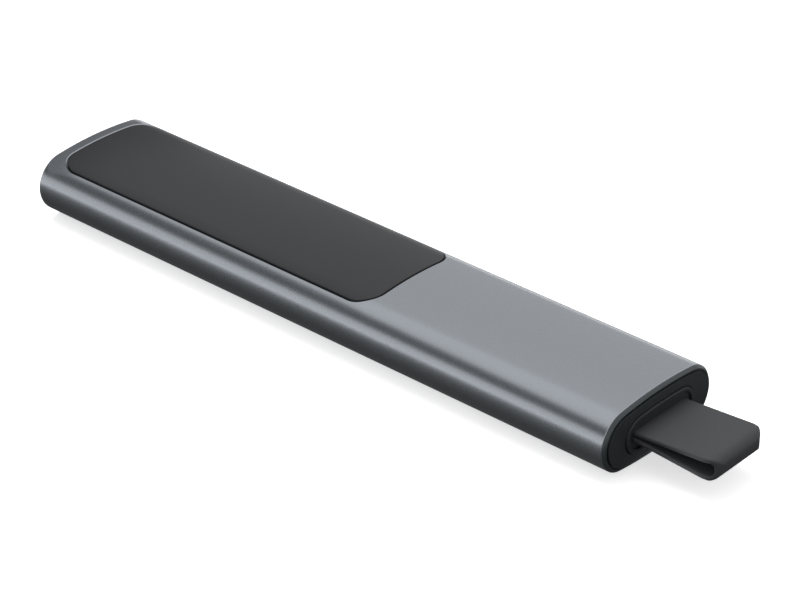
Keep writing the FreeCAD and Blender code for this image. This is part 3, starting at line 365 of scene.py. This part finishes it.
def pierced(x, y, half, inset, openings):
    """Patches of the body's skin on a grid, with openings. Each opening takes a rectangle out of
    the grid, and rows blended from the rectangle to the opening's loop fill it in again."""
    keep = np.ones((len(x) - 1, len(y) - 1), bool)
    s = run(y)
    patches = []
    for low_x, high_x, high_y, loop in openings:
        i, k = between(x, low_x, high_x)
        j, m = between(y, -high_y, high_y)
        keep[i:k, j:m] = False
        edge = plan_rectangle(x[i:k + 1], s[j:m + 1])
        inner = loop(x[i:k + 1], y[j:m + 1])
        blend = np.linspace(0, 1, 5)[:, None]
        across = (1 - blend) * edge[:, 1] + blend * run(inner[:, 1], inset)
        along = (1 - blend) * edge[:, 0] + blend * inner[:, 0]
        patches.append((skin(along, across, inset, half), None))
    grid = skin(x[:, None], s[None, :], inset, half)
    return patches + [(grid, keep)]


def wall_rows(half, steps):
    """Rows of an opening's wall: each step is a plan loop and the inset at which it lies."""
    rows = [skin(loop[:, 0], run(loop[:, 1], inset), inset, half) for loop, inset in steps]
    return np.stack(rows), None


def build(name, patches, finish):
    """One object from patches of points in millimetres, each a grid of rows and columns with a
    table of the quads that stay. Doubles are merged and the faces turned outward."""
    points, quads, first = [], [], 0
    for grid, keep in patches:
        rows, columns = grid.shape[:2]
        i, j = np.meshgrid(np.arange(rows - 1), np.arange(columns - 1), indexing="ij")
        corner = first + i * columns + j
        quad = np.stack([corner, corner + columns, corner + columns + 1, corner + 1], axis=-1)
        quads.append(quad.reshape(-1, 4) if keep is None else quad[keep])
        points.append(grid.reshape(-1, 3))
        first += rows * columns
    points, quads = np.concatenate(points) * mm, np.concatenate(quads)
    mesh = bpy.data.meshes.new(name)
    mesh.vertices.add(len(points))
    mesh.vertices.foreach_set("co", points.ravel())
    mesh.loops.add(quads.size)
    mesh.loops.foreach_set("vertex_index", quads.ravel())
    mesh.polygons.add(len(quads))
    mesh.polygons.foreach_set("loop_start", np.arange(len(quads)) * 4)
    mesh.polygons.foreach_set("loop_total", np.full(len(quads), 4))
    mesh.update(calc_edges=True)
    work = bmesh.new()
    work.from_mesh(mesh)
    bmesh.ops.remove_doubles(work, verts=work.verts, dist=join_distance * mm)
    bmesh.ops.recalc_face_normals(work, faces=work.faces)
    work.to_mesh(mesh)
    work.free()
    mesh.shade_smooth()
    mesh.set_sharp_from_angle(angle=sharp_angle)
    mesh.materials.append(finish)
    piece = bpy.data.objects.new(name, mesh)
    scene.collection.objects.link(piece)
    return piece


def finish(name, shade, roughness, metallic=0.0, grain=0.1, depth=0.003, spread=0.04, shine=0.5):
    """A material whose fine grain lifts the surface by depth and varies the roughness by spread:
    three-dimensional noise, with grain and depth in millimetres."""
    material = bpy.data.materials.new(name)
    material.use_nodes = True
    tree = material.node_tree
    tree.nodes.clear()
    point = add(tree, "ShaderNodeTexCoord").outputs["Object"]
    noise = add(tree, "ShaderNodeTexNoise", {"Vector": point, "Scale": 1 / (grain * mm),
                                             "Detail": 2}).outputs["Fac"]
    rough = add(tree, "ShaderNodeMapRange", {"Value": noise, "To Min": roughness - spread,
                                             "To Max": roughness + spread})
    bump = add(tree, "ShaderNodeBump", {"Height": noise, "Distance": depth * mm, "Strength": 1})
    body = add(tree, "ShaderNodeBsdfPrincipled", {
        "Base Color": colour(shade), "Metallic": metallic, "Roughness": rough.outputs["Result"],
        "Specular IOR Level": shine, "Normal": bump.outputs["Normal"]})
    add(tree, "ShaderNodeOutputMaterial", {"Surface": body.outputs[0]})
    return material


# Bead-blasted anodised aluminium: a soft broad sheen, a fine even grain and no brushing.
aluminium = finish("bead-blasted anodised aluminium", "#A0A5AB", 0.28, 1.0, 0.1, 0.0006, 0.03)


def panel_loop(grow):
    """Plan loop of the panel's outline, let out by grow."""
    middle = x_tail + panel_margin + panel_length / 2
    return lambda rim_x, rim_y: plan_loop(middle, panel_length / 2 + grow, panel_width / 2 + grow,
                                          panel_corner_radius + grow, rim_x, rim_y)


def round_loop(middle, radius):
    """Plan loop of a round hole."""
    return lambda rim_x, rim_y: plan_loop(middle, radius, radius, radius, rim_x, rim_y)


straight_low = x_tail + panel_margin + panel_corner_radius
straight_high = x_tail + panel_margin + panel_length - panel_corner_radius


def sleeve_stations(first, second, last):
    """Stations along the sleeve, with marks at the window's corners and each hole's rectangle."""
    return stations([
        (first, 0), (second, 1), (straight_low, 8), (led_x - led_box, 2), (led_x + led_box, 6),
        (button_x["pointer"] - small_length, 2), (button_x["pointer"] + small_length, 16),
        (button_x["next"] - large_box, 1), (button_x["next"] + large_box, 18),
        (button_x["back"] - small_length, 1), (button_x["back"] + small_length, 16),
        (straight_high, 8), (x_window_high, 8), (last, 20),
    ])


half_cross = stations([(0, 0), (led_box, 3), (small_width, 7), (large_box, 4), (window_half, 8)])
shoulder = skin(0, np.linspace(run(window_half), body[5], 11)[1:])[:, 1]
cross = np.concatenate([half_cross, shoulder])
cross = np.concatenate([-cross[:0:-1], cross])
x_round = x_tail + tail_edge_radius
outer_x = sleeve_stations(x_round, x_window_low, x_sleeve_end - mouth_edge_break)
inner_x = sleeve_stations(x_tail + tail_wall, x_ledge_low, x_sleeve_end)
window = (x_window_low, x_window_high, window_half)
well_boxes = [(x - length, x + length, width) for x, length, width in (
    (button_x["pointer"], small_length, small_width), (button_x["next"], large_box, large_box),
    (button_x["back"], small_length, small_width), (led_x, led_box, led_box))]
wells = [(button_x[name], button_hole[name]) for name in ("pointer", "next", "back")]
wells.append((led_x, led_hole))
patches = pierced(outer_x, cross, 1, 0, [(*window, panel_loop(panel_gap + window_edge_break))])
patches += pierced(outer_x, cross, -1, 0, [(*box, round_loop(x, radius + well_edge_break))
                                           for box, (x, radius) in zip(well_boxes, wells)])
patches += pierced(inner_x, cross, 1, wall, [
    (x_ledge_low, x_window_high, window_half, panel_loop(-ledge_width))])
patches += pierced(inner_x, cross, -1, wall, [(*box, round_loop(x, radius))
                                              for box, (x, radius) in zip(well_boxes, wells)])
i, k = between(outer_x, window[0], window[1])
j, m = between(cross, -window[2], window[2])
rim_x, rim_y = outer_x[i:k + 1], cross[j:m + 1]
patches.append(wall_rows(1, [
    (panel_loop(panel_gap + window_edge_break)(rim_x, rim_y), 0),
    (panel_loop(panel_gap)(rim_x, rim_y), window_edge_break),
    (panel_loop(panel_gap)(rim_x, rim_y), rebate_depth),
    (panel_loop(-ledge_width / 2)(rim_x, rim_y), rebate_depth),
    (panel_loop(-ledge_width)(rim_x, rim_y), rebate_depth),
    (panel_loop(-ledge_width)(rim_x, rim_y), wall)]))
for box, (x, radius) in zip(well_boxes, wells):
    i, k = between(outer_x, box[0], box[1])
    j, m = between(cross, -box[2], box[2])
    rims = outer_x[i:k + 1], cross[j:m + 1]
    patches.append(wall_rows(-1, [(round_loop(x, radius + well_edge_break)(*rims), 0),
                                  (round_loop(x, radius)(*rims), well_edge_break),
                                  (round_loop(x, radius)(*rims), wall)]))
s_cross = run(cross)
bend = np.linspace(0, np.pi / 2, 9)[:, None]
for half in (1, -1):
    tail = skin(x_round - tail_edge_radius * np.sin(bend), s_cross[None, :],
                tail_edge_radius * (1 - np.cos(bend)), half)
    mouth = skin(np.array([[x_sleeve_end - mouth_edge_break], [x_sleeve_end], [x_sleeve_end]]),
                 s_cross[None, :], np.array([[0], [mouth_edge_break], [wall]]), half)
    patches += [(tail, None), (mouth, None)]
for x, inset in ((x_tail, tail_edge_radius), (x_tail + tail_wall, wall)):
    blend = np.linspace(0, 1, 9)[:, None, None]
    upper, lower = skin(x, s_cross, inset, 1), skin(x, s_cross, inset, -1)
    patches.append(((1 - blend) * upper + blend * lower, None))
sleeve = build("sleeve", patches, aluminium)
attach(sleeve, "root")
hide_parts("housing_sleeve")


# --- Rear panel ---
# The radio can't work through aluminium, so a dark moulded window is taped into the sleeve's
# rebate. Its face follows the crown, with a fine spark-eroded texture and a soft edge. It is drawn
# panel_fit narrower all round than it is built, to show the black line round it.
panel_sink = 0.02
panel_edge = 0.05
panel_fit = 0.14
tape_thickness = 0.12
inner_gap = 0.12
panel_skin = 1.5
# Spark-eroded plastic: an even dark grey with one faint, wide sheen along the crown.
satin = finish("spark-eroded satin plastic", "#2A2B2D", 0.46, grain=0.09, depth=0.004, shine=0.35)


def toward_spine(loop, middle, reach, amount):
    """A plan loop moved part of the way in to a line along its middle, reach long either way."""
    along = middle + np.clip(loop[:, 0] - middle, -reach, reach)
    return (1 - amount) * loop + amount * np.stack([along, 0 * along], axis=-1)


panel_middle = x_tail + panel_margin + panel_length / 2
spine_reach = (panel_length - panel_width) / 2
plate_depth = rebate_depth - tape_thickness
face_loop = panel_loop(-panel_fit - panel_edge)(rim_x, rim_y)
back_loop = panel_loop(-ledge_width - inner_gap)(rim_x, rim_y)
steps = [(toward_spine(face_loop, panel_middle, spine_reach, amount), panel_sink)
         for amount in np.linspace(1, 0, 25)]
steps += [(panel_loop(panel_edge * (math.sin(angle) - 1) - panel_fit)(rim_x, rim_y),
           panel_sink + panel_edge * (1 - math.cos(angle))) for angle in np.linspace(0.3, 1.57, 5)]
steps += [(panel_loop(-panel_fit)(rim_x, rim_y), plate_depth), (back_loop, plate_depth)]
steps += [(toward_spine(back_loop, panel_middle, spine_reach, amount), panel_skin)
          for amount in np.linspace(0, 1, 9)]
panel = build("rear_panel_face", [wall_rows(1, steps)], satin)
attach(panel, "root")
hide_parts("rear_panel")


# --- End bezel ---
# A moulded ring finishes the cut end of the tube: its front edge is bevelled, and two skirts slip
# inside the sleeve's sides. Dark grey, moulded against a lightly textured tool. Its face is drawn
# 0.12 mm narrower than it is built, to show the black line inside it.
bezel_length = 0.58
bezel_face_width = 0.7
bezel_bevel = 0.45
bezel_web = 0.3
bezel_fit = 0.06
skirt_thickness = 0.5
skirt_length = 4.2
skirt_height = 5.0
bezel_break = 0.05
ease_before, ease_after = 0.04, 0.03
# Fine-textured moulding: cooler and shinier than the panel, so the ring reads as its own part.
moulded = finish("fine-textured dark moulding", "#393F42", 0.38, grain=0.14, depth=0.003)
skirt_outer = wall + bezel_fit
skirt_inner = skirt_outer + skirt_thickness
x_web = x_sleeve_end + bezel_web
x_bezel_end = x_sleeve_end + bezel_length
rim = np.array([
    (x_sleeve_end, skirt_inner), (x_sleeve_end, bezel_break), (x_sleeve_end + bezel_break, 0),
    (x_bezel_end - bezel_bevel - ease_before, 0),
    (x_bezel_end - bezel_bevel + ease_after, ease_after),
    (x_bezel_end - ease_after, bezel_bevel - ease_after), (x_bezel_end, bezel_bevel + ease_before),
    (x_bezel_end, bezel_face_width - bezel_break), (x_bezel_end - bezel_break, bezel_face_width),
    (x_web, bezel_face_width), (x_web, skirt_inner), (x_sleeve_end, skirt_inner)])
patches = [(skin(rim[:, :1], s_cross[None, :], rim[:, 1:], half), None) for half in (1, -1)]
crown, side, _, _, lean, quarter = body
ring = np.array([(x_sleeve_end - skirt_length, skirt_outer), (x_web, skirt_outer),
                 (x_web, skirt_inner), (x_sleeve_end - skirt_length, skirt_inner),
                 (x_sleeve_end - skirt_length, skirt_outer)])
skirt_edge = np.array([[skirt_outer, skirt_inner]])
from_top = crown * lean + side * (math.acos(skirt_height / 2 / (side - skirt_outer)) - lean)
for way in (1, -1):
    for half in (1, -1):
        reach = way * np.linspace(from_top, quarter, 8)
        patches.append((skin(ring[:, :1], reach[None, :], ring[:, 1:], half), None))
        patches.append((skin(ring[:2, :1], reach[0], skirt_edge, half), None))
bezel = build("end_bezel_ring", patches, moulded)
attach(bezel, "root")
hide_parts("end_bezel")


# --- Receiver bay ---
# The black garage behind the bezel: its lip is the flat face round the receiver, and its bore
# runs back to the charging socket. A smooth copy of the built part keeps its snap tongues.
# The rounding of its edges is drawn here alone; the built part's edges are square.
bay_edge = 0.09
bay_edge_angle = math.radians(60)
weld_distance = 0.0005
flat_angle = math.radians(0.5)
on_axis = 0.9999


def smoothed(name, node, finish):
    """A copy of a built part with its loose triangles joined, so that its curves shade smoothly.
    A face whose normal lies along an axis is part of a flat, and stays flat."""
    work = bmesh.new()
    work.from_mesh(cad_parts[node].data)
    bmesh.ops.remove_doubles(work, verts=work.verts, dist=weld_distance * mm)
    bmesh.ops.dissolve_limit(work, angle_limit=flat_angle, verts=work.verts, edges=work.edges)
    bmesh.ops.recalc_face_normals(work, faces=work.faces)
    mesh = bpy.data.meshes.new(name)
    work.to_mesh(mesh)
    work.free()
    normal = np.empty(len(mesh.polygons) * 3)
    mesh.polygons.foreach_get("normal", normal)
    mesh.polygons.foreach_set("use_smooth", np.abs(normal.reshape(-1, 3)).max(axis=1) < on_axis)
    mesh.set_sharp_from_angle(angle=sharp_angle)
    mesh.materials.append(finish)
    piece = bpy.data.objects.new(name, mesh)
    scene.collection.objects.link(piece)
    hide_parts(node)
    return piece


# Matt black moulding: near-black in the recesses, with a soft light line on its rounded edges.
black_moulding = finish("matt black moulding", "#292E30", 0.5, grain=0.12, depth=0.004, shine=0.35)
bay = smoothed("receiver_garage", "receiver_bay", black_moulding)
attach(bay, "root")
rounding = bay.modifiers.new("moulded edge", "BEVEL")
rounding.width = bay_edge * mm
rounding.segments = 2
rounding.limit_method = "ANGLE"
rounding.angle_limit = bay_edge_angle


# --- Receiver ---
# The plug-in radio: a two-part shell in the same black plastic as the bay, whose end shows a
# raised rim round a shallow recess with the strap's slot.
receiver_width = 17.7
receiver_height = 7.0
receiver_crown = 72.0
receiver_length = 11.4
receiver_wall = 0.8
nose_wall = 1.0
flange_thickness = 1.8
rim_width = 0.75
rim_depth = 0.4
receiver_edge = 0.15
rim_edge = 0.12
spigot_length = 1.5
spigot_fit = 0.05
strap_width = 13.6
strap_thickness = 0.8
strap_root_gap = 0.1
slot_gap = 0.15
slot_corner = 0.1
plug_width = 12.0
plug_height = 4.5
plug_corner = 0.6
receiver = pill(receiver_width, receiver_height, receiver_crown)
x_nose = x_mouth - receiver_length
x_flange = x_mouth - flange_thickness
receiver_s = np.concatenate([np.linspace(0, receiver[0] * receiver[4], 10)[:-1],
                             np.linspace(receiver[0] * receiver[4], receiver[5], 15)])
receiver_s = np.concatenate([-receiver_s[:0:-1], receiver_s])
receiver_part = receiver_s / receiver[5]


def box_skin(x, part, half_width, half_height, radius, half=1):
    """Points of a rounded rectangle's upper or lower half about the middle line. part runs from -1
    to 1: the run t goes along the flat, then round the corner, then down the side."""
    flat, upright = half_width - radius, half_height - radius
    t = np.abs(part) * (flat + radius * np.pi / 2 + upright)
    angle = np.clip((t - flat) / radius, 0, np.pi / 2)
    y = np.minimum(t, flat) + radius * np.sin(angle)
    z = upright + radius * np.cos(angle) - np.maximum(t - flat - radius * np.pi / 2, 0)
    x, y, z = np.broadcast_arrays(x, np.sign(part) * y, z_mid + half * z)
    return np.stack([x, y, z], axis=-1)


def receiver_row(x, inset, half):
    """One row of the receiver's outline at x."""
    return skin(x, receiver_s, inset, half, receiver)


def edge_arc(radius, count=4):
    """Steps round an edge of that radius: how far each lies from its two faces."""
    angle = np.linspace(0, math.pi / 2, count + 1)
    return list(zip(radius * (1 - np.cos(angle)), radius * (1 - np.sin(angle))))


patches = []
for half in (1, -1):
    rows = [receiver_row(x_flange, inset, half) for inset in (receiver_wall, 0)]
    rows += [receiver_row(x_nose + away, inset, half) for inset, away in edge_arc(receiver_edge)]
    rows += [box_skin(x, receiver_part, plug_width / 2, plug_height / 2, plug_corner, half)
             for x in (x_nose, x_nose + nose_wall)]
    rows += [receiver_row(x, receiver_wall, half) for x in (x_nose + nose_wall, x_flange)]
    patches.append((np.stack(rows), None))
housing = build("receiver_shell", patches, black_moulding)
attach(housing, "receiver")
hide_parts("receiver_housing")

x_floor = x_mouth - rim_depth
slot_half_width = strap_width / 2 + slot_gap
slot_half_height = strap_thickness + strap_root_gap / 2 + slot_gap
spigot_inset = receiver_wall + spigot_fit
patches = []
for half in (1, -1):
    rows = [receiver_row(x_flange, 0, half)]
    rows += [receiver_row(x_mouth - away, inset, half) for inset, away in edge_arc(receiver_edge)]
    rows += [receiver_row(x_mouth - away, rim_width - inset, half)
             for inset, away in edge_arc(rim_edge)[::-1]]
    rows += [receiver_row(x_floor, rim_width, half)]
    rows += [box_skin(x, receiver_part, slot_half_width, slot_half_height, slot_corner, half)
             for x in (x_floor, x_flange - spigot_length)]
    rows += [receiver_row(x, inset, half) for x, inset in (
        (x_flange - spigot_length, spigot_inset), (x_flange, spigot_inset), (x_flange, 0))]
    patches.append((np.stack(rows), None))
end_plug = build("receiver_end", patches, black_moulding)
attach(end_plug, "receiver")
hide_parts("receiver_end_plug")


# --- Plug ---
# A standard plug: one strip of nickel-plated steel folded to a box, with four latch windows.
plug_length = 12.0
plug_tail = 1.6
plug_sheet = 0.3
window_length = 2.4
window_width = 2.2
window_pitch = 5.2
window_inset = 5.0
# Nickel plate: bright and neutral, with blurred reflections that run along the folded flats.
nickel = finish("nickel-plated folded steel", "#C9C9CB", 0.22, 1.0, 0.3, 0.001, 0.05)
x_tip = x_nose - plug_length
x_plug_rear = x_nose + nose_wall + plug_tail
x_window = x_tip + window_inset
plug_x = np.array([x_tip, x_window, x_window + window_length, x_plug_rear])
flat = plug_width / 2 - plug_corner
bend_run = plug_corner * np.pi / 2
total = flat + bend_run + plug_height / 2 - plug_corner
marks = [0, window_pitch / 2 - window_width / 2, window_pitch / 2 + window_width / 2, flat]
marks += list(flat + bend_run * np.linspace(0, 1, 7)[1:]) + [total]
plug_part = np.concatenate([-np.array(marks)[:0:-1], marks]) / total
keep = np.ones((3, len(plug_part) - 1), bool)
middle = len(marks) - 1
keep[1, [middle + 1, middle - 2]] = False
patches = []
for half in (1, -1):
    shells = []
    for sheet in (0, plug_sheet):
        outward = box_skin(0, plug_part, plug_width / 2 - sheet, plug_height / 2 - sheet,
                           plug_corner - sheet, half)
        flat_run = np.abs(plug_part) * total <= flat + 1e-9
        outward[flat_run, 1] = (plug_part * total)[flat_run]
        grid = np.broadcast_to(outward[None], (4, *outward.shape)).copy()
        grid[..., 0] = plug_x[:, None]
        shells.append(grid)
        patches.append((grid, keep))
    for row in (0, -1):
        patches.append((np.stack([shells[0][row], shells[1][row]]), None))
    for way in (1, -1):
        j, m = sorted((middle + way, middle + 2 * way))
        loops = [np.stack([grid[1, j], grid[2, j], grid[2, m], grid[1, m], grid[1, j]])
                 for grid in shells]
        patches.append((np.stack(loops), None))
plug = build("plug_box", patches, nickel)
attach(plug, "receiver")
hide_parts("plug_shell")


# --- Strap ---
# An elastic loop for pulling the receiver out: one moulded band in grey rubber that goes round a
# pin inside the receiver and widens to a rounded end, its edges softly rounded.
strap_end_height = 4.0
strap_plan_radius = 2.6
strap_corner = 1.6
strap_edge = 0.3
pin_radius = 0.6
pin_gap = 0.06
ear_reach = 2.9
# Moulded rubber: a plain mid grey whose tone changes with the slope alone, with no highlight.
rubber = finish("matt grey rubber", "#464749", 0.6, grain=0.07, depth=0.003, spread=0.03,
                shine=0.3)
x_pin = x_flange - ear_reach + 2 * pin_radius


def strap_path(depth):
    """The loop's upper half, depth in from its outer face: round the pin, along the slot, out along
    the flare and round the corner. Rows follow the path, columns follow depth."""
    wrap = pin_radius + pin_gap + strap_thickness - depth
    root = strap_thickness + strap_root_gap / 2 - depth
    half = strap_end_height / 2 - depth
    corner = strap_corner - depth
    x_end = x_mouth + strap_reach - depth
    neck = x_flange - x_pin
    turn = np.arctan2(root, neck) + np.arccos(wrap / np.hypot(neck, root))
    angle = np.linspace(0, 1, 11)[:, None] * (turn - np.pi) + np.pi
    around = np.stack([x_pin + wrap * np.cos(angle), wrap * np.sin(angle)])
    share = np.linspace(0, 1, 17)[:, None]
    flare = np.stack([x_flange + share * (x_end - corner - x_flange), root + share * (half - root)])
    angle = np.linspace(np.pi / 2, 0, 11)[1:, None]
    bend = np.stack([x_end - corner + corner * np.cos(angle),
                     half - corner + corner * np.sin(angle)])
    last = np.stack([x_end, 0 * x_end])[:, None, :]
    return np.concatenate([around, flare, bend, last], axis=1)


edge_from, flat_to = 0.88, 0.85
section_part = np.concatenate([np.linspace(-1, -edge_from, 9), np.linspace(-flat_to, flat_to, 13),
                               np.linspace(edge_from, 1, 9)])
upper = box_skin(0, section_part, strap_width / 2, strap_thickness / 2, strap_edge, 1)
lower = box_skin(0, section_part, strap_width / 2, strap_thickness / 2, strap_edge, -1)
section = np.concatenate([upper, lower[-2::-1]])
depth = strap_thickness / 2 - (section[:, 2] - z_mid)
path_x, path_z = strap_path(depth)
past = np.clip(path_x - (x_mouth + strap_reach - strap_plan_radius), 0, strap_plan_radius)
narrowed = strap_plan_radius - np.sqrt(strap_plan_radius ** 2 - past ** 2)
across = section[:, 1] * (1 - narrowed / (strap_width / 2))
band = [(np.stack([path_x, across, z_mid + side_sign * path_z], axis=-1), None)
        for side_sign in (1, -1)]
strap = build("pull_strap", band, rubber)
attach(strap, "receiver")
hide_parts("strap")


# --- Buttons ---
# Three round push buttons sunk in the wells underneath: dished moulded caps with a soft-touch
# paint. The pointer's has a small nub in the middle, to be found by feel.
button_gap = 0.2
button_sink = 0.06
button_face = 1.0
button_wall = 1.0
button_height = 1.9
button_edge = 0.22
dish_margin = 0.9
nub_radius = 1.1
nub_height = 0.3
tab_reach = 0.75
tab_width = 3.0
tab_clearance = 0.06
tab_thickness = 0.6
post_width = 2.2
post_overlap = 0.1
switch_height, switch_cover, plunger_tip = 1.0, 0.15, 0.5
switch_stack = switch_height + switch_cover + plunger_tip
socket_height = 3.26
board_thickness = 0.8
board_bottom = z_mid - socket_height / 2 - board_thickness
dishes = {"pointer": 0.35, "next": 0.5, "back": 0.22}
# Soft-touch paint: velvety and dark, so that a dish shows as a soft change of tone.
soft_touch = finish("soft-touch painted plastic", "#2F3032", 0.6, grain=0.06, depth=0.003)


def turned(x, profile, count=96):
    """A closed surface of revolution about the upright line at x, from (radius, height) pairs."""
    radius, height = np.array(profile).T[:, :, None]
    angle = np.linspace(0, 2 * np.pi, count + 1)[None, :]
    height = np.broadcast_to(height, (len(profile), count + 1))
    return np.stack([x + radius * np.cos(angle), radius * np.sin(angle), height], axis=-1), None


def cuboid(low, high):
    """The six faces of a box between two corners, as two end faces and the band round them."""
    (x0, y0, z0), (x1, y1, z1) = low, high
    ring = np.array([(y0, z0), (y1, z0), (y1, z1), (y0, z1), (y0, z0)])
    band = np.stack([np.column_stack([np.full(5, x), ring]) for x in (x0, x1)])
    ends = [row[[0, 1, 3, 2]].reshape(2, 2, 3) for row in band]
    return [(band, None)] + [(end, None) for end in ends]


for name, dish_depth in dishes.items():
    x = button_x[name]
    radius = button_hole[name] - button_gap
    face_top = button_sink + button_face
    dish_radius = radius - dish_margin
    ball = (dish_radius ** 2 + dish_depth ** 2) / (2 * dish_depth)
    reach = np.linspace(0, dish_radius, 15)
    dish = button_sink + dish_depth - ball + np.sqrt(ball ** 2 - reach ** 2)
    if name == "pointer":
        curve = (nub_radius ** 2 + nub_height ** 2) / (2 * nub_height)
        reach = np.concatenate([np.linspace(0, nub_radius, 9), reach[reach > nub_radius]])
        dish = button_sink + dish_depth - ball + np.sqrt(ball ** 2 - reach ** 2)
        inner = np.minimum(reach, curve)
        nub = button_sink + dish_depth - nub_height + curve - np.sqrt(curve ** 2 - inner ** 2)
        dish = np.minimum(dish, nub)
    profile = list(zip(reach, dish))
    profile += [(radius - away, button_sink + inset) for inset, away in edge_arc(button_edge, 5)]
    top = button_sink + button_height
    profile += [(radius, top), (radius - button_wall, top), (radius - button_wall, face_top),
                (0, face_top)]
    tab_bottom = float(skin(0, run(tab_width / 2, wall), wall, -1)[2]) + tab_clearance
    tab = button_hole[name] + tab_reach
    patches = [turned(x, profile)]
    for way in (-1, 1):
        x_low, x_high = sorted((x + way * (radius - button_wall / 2), x + way * tab))
        patches += cuboid((x_low, -tab_width / 2, tab_bottom),
                          (x_high, tab_width / 2, tab_bottom + tab_thickness))
    patches += cuboid((x - post_width / 2, -post_width / 2, face_top - post_overlap),
                      (x + post_width / 2, post_width / 2, board_bottom - switch_stack))
    button = build(name + "_cap", patches, soft_touch)
    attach(button, name + "_press")
    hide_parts(name + "_button")


# --- Switch domes ---
# Each switch works on a thin disc of sprung steel, pressed to a shallow dome: its rim stands in
# the case, and its middle flattens with a click when the plunger pushes on it.
dome_radius = 1.45
dome_rise = 0.4
dome_sheet = 0.08
case_roof = 0.2
# Rolled spring steel: mirror-like beside the plated parts, with a slight haze.
spring_steel = finish("bright sprung steel", "#BFC0C0", 0.25, 1.0, 0.2, 0.001)
dome_rim = board_bottom - case_roof
dome_curve = (dome_radius ** 2 + dome_rise ** 2) / (2 * dome_rise)
inner_curve = dome_curve - dome_sheet
rim_inside = math.sqrt(inner_curve ** 2 - (dome_curve - dome_rise) ** 2)
for name, x in button_x.items():
    outside, inside_reach = np.linspace(0, dome_radius, 13), np.linspace(rim_inside, 0, 13)
    centre_height = dome_rim - dome_rise + dome_curve
    profile = list(zip(outside, centre_height - np.sqrt(dome_curve ** 2 - outside ** 2)))
    profile += list(zip(inside_reach,
                        centre_height - np.sqrt(inner_curve ** 2 - inside_reach ** 2)))
    dome = build(name + "_dome", [turned(x, profile, 64)], spring_steel)
    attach(dome, "root")
    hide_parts(name + "_switch_dome")
    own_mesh(dome)


# --- Built parts inside ---
# The rest stays as built: boards, chips, battery, motor, screws and tapes, which are bought
# parts for the most part. Each kind has the finish that the real one has.
inside = [
    # Foam tape: dull and black, with an open grain that takes no light.
    (("panel_tape", "battery_tape", "motor_tape"),
     finish("foam adhesive tape", "#1C1C1C", 0.85, grain=0.2, depth=0.02)),
    # The frames and switch cases share the bay's matt black moulding.
    (("chassis_frame", "button_frame", "plug_tongue", "charge_socket_tongue",
      "pointer_switch_case", "next_switch_case", "back_switch_case",
      "pointer_switch_plunger", "next_switch_plunger", "back_switch_plunger"), black_moulding),
    # Solder mask: a smooth green coat, dark until a lamp catches its thin gloss.
    (("main_board", "battery_guard_board", "receiver_board"),
     finish("green solder mask", "#0F4A2B", 0.3, grain=0.3, depth=0.004)),
    # Black oxide: dark metal whose edges and drive recess still glint.
    (("board_screws", "bay_screws"),
     finish("black-oxide steel", "#2B2B2B", 0.35, 1.0, 0.1, 0.002)),
    # Stamped and drawn covers share the plug's nickel plate.
    (("charge_socket_shell", "motor_base", "motor_can", "motor_shaft", "radio_shield",
      "clock_crystal", "strap_pin", "pointer_switch_cover", "next_switch_cover",
      "back_switch_cover"), nickel),
    # Gold flash: a thin warm yellow on the contact strips.
    (("charge_socket_contacts", "plug_contacts"),
     finish("gold-flashed contacts", "#E2B45A", 0.25, 1.0, 0.2, 0.001)),
    # Crimped foil: silver with a loose, low ripple that breaks up the reflections.
    (("battery_cell",), finish("crimped foil pouch", "#B9BBBE", 0.3, 1.0, 1.2, 0.02)),
    # Extruded silicone: a saturated red and a plain black, both with a soft sheen.
    (("battery_lead_red",), finish("red silicone insulation", "#A81A14", 0.5)),
    (("battery_lead_black",), finish("black silicone insulation", "#1B1B1B", 0.5)),
    # Unpainted nylon: warm white and slightly waxy.
    (("battery_connector",), finish("off-white nylon", "#DAD6CA", 0.5)),
    # Fired ceramic: small pale beige blocks that stand out from the green board.
    (("chip_antenna", "board_passives", "status_led"), finish("fired ceramic", "#CDBE9A", 0.4)),
    # Moulded epoxy: charcoal packages with a fine, dry texture.
    (("radio_chip", "motion_sensor", "charger_chip", "receiver_chip"),
     finish("moulded epoxy", "#1D1E20", 0.55, grain=0.05, depth=0.003)),
    # Amber film over copper: a glossy orange-brown ribbon.
    (("motor_leads",), finish("amber flexible circuit", "#A0642A", 0.3)),
    # Sintered alloy: grey, dull and slightly pitted.
    (("motor_rotor",), finish("sintered heavy alloy", "#8C8A84", 0.45, 1.0, 0.05)),
    # Frosted pipe: a pale dot beside the buttons, drawn opaque since nothing shows through it.
    (("light_pipe",), finish("frosted light pipe", "#C9CDCD", 0.35)),
]
for nodes, look in inside:
    for node in nodes:
        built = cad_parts[node]
        built.data.materials.clear()
        built.data.materials.append(look)
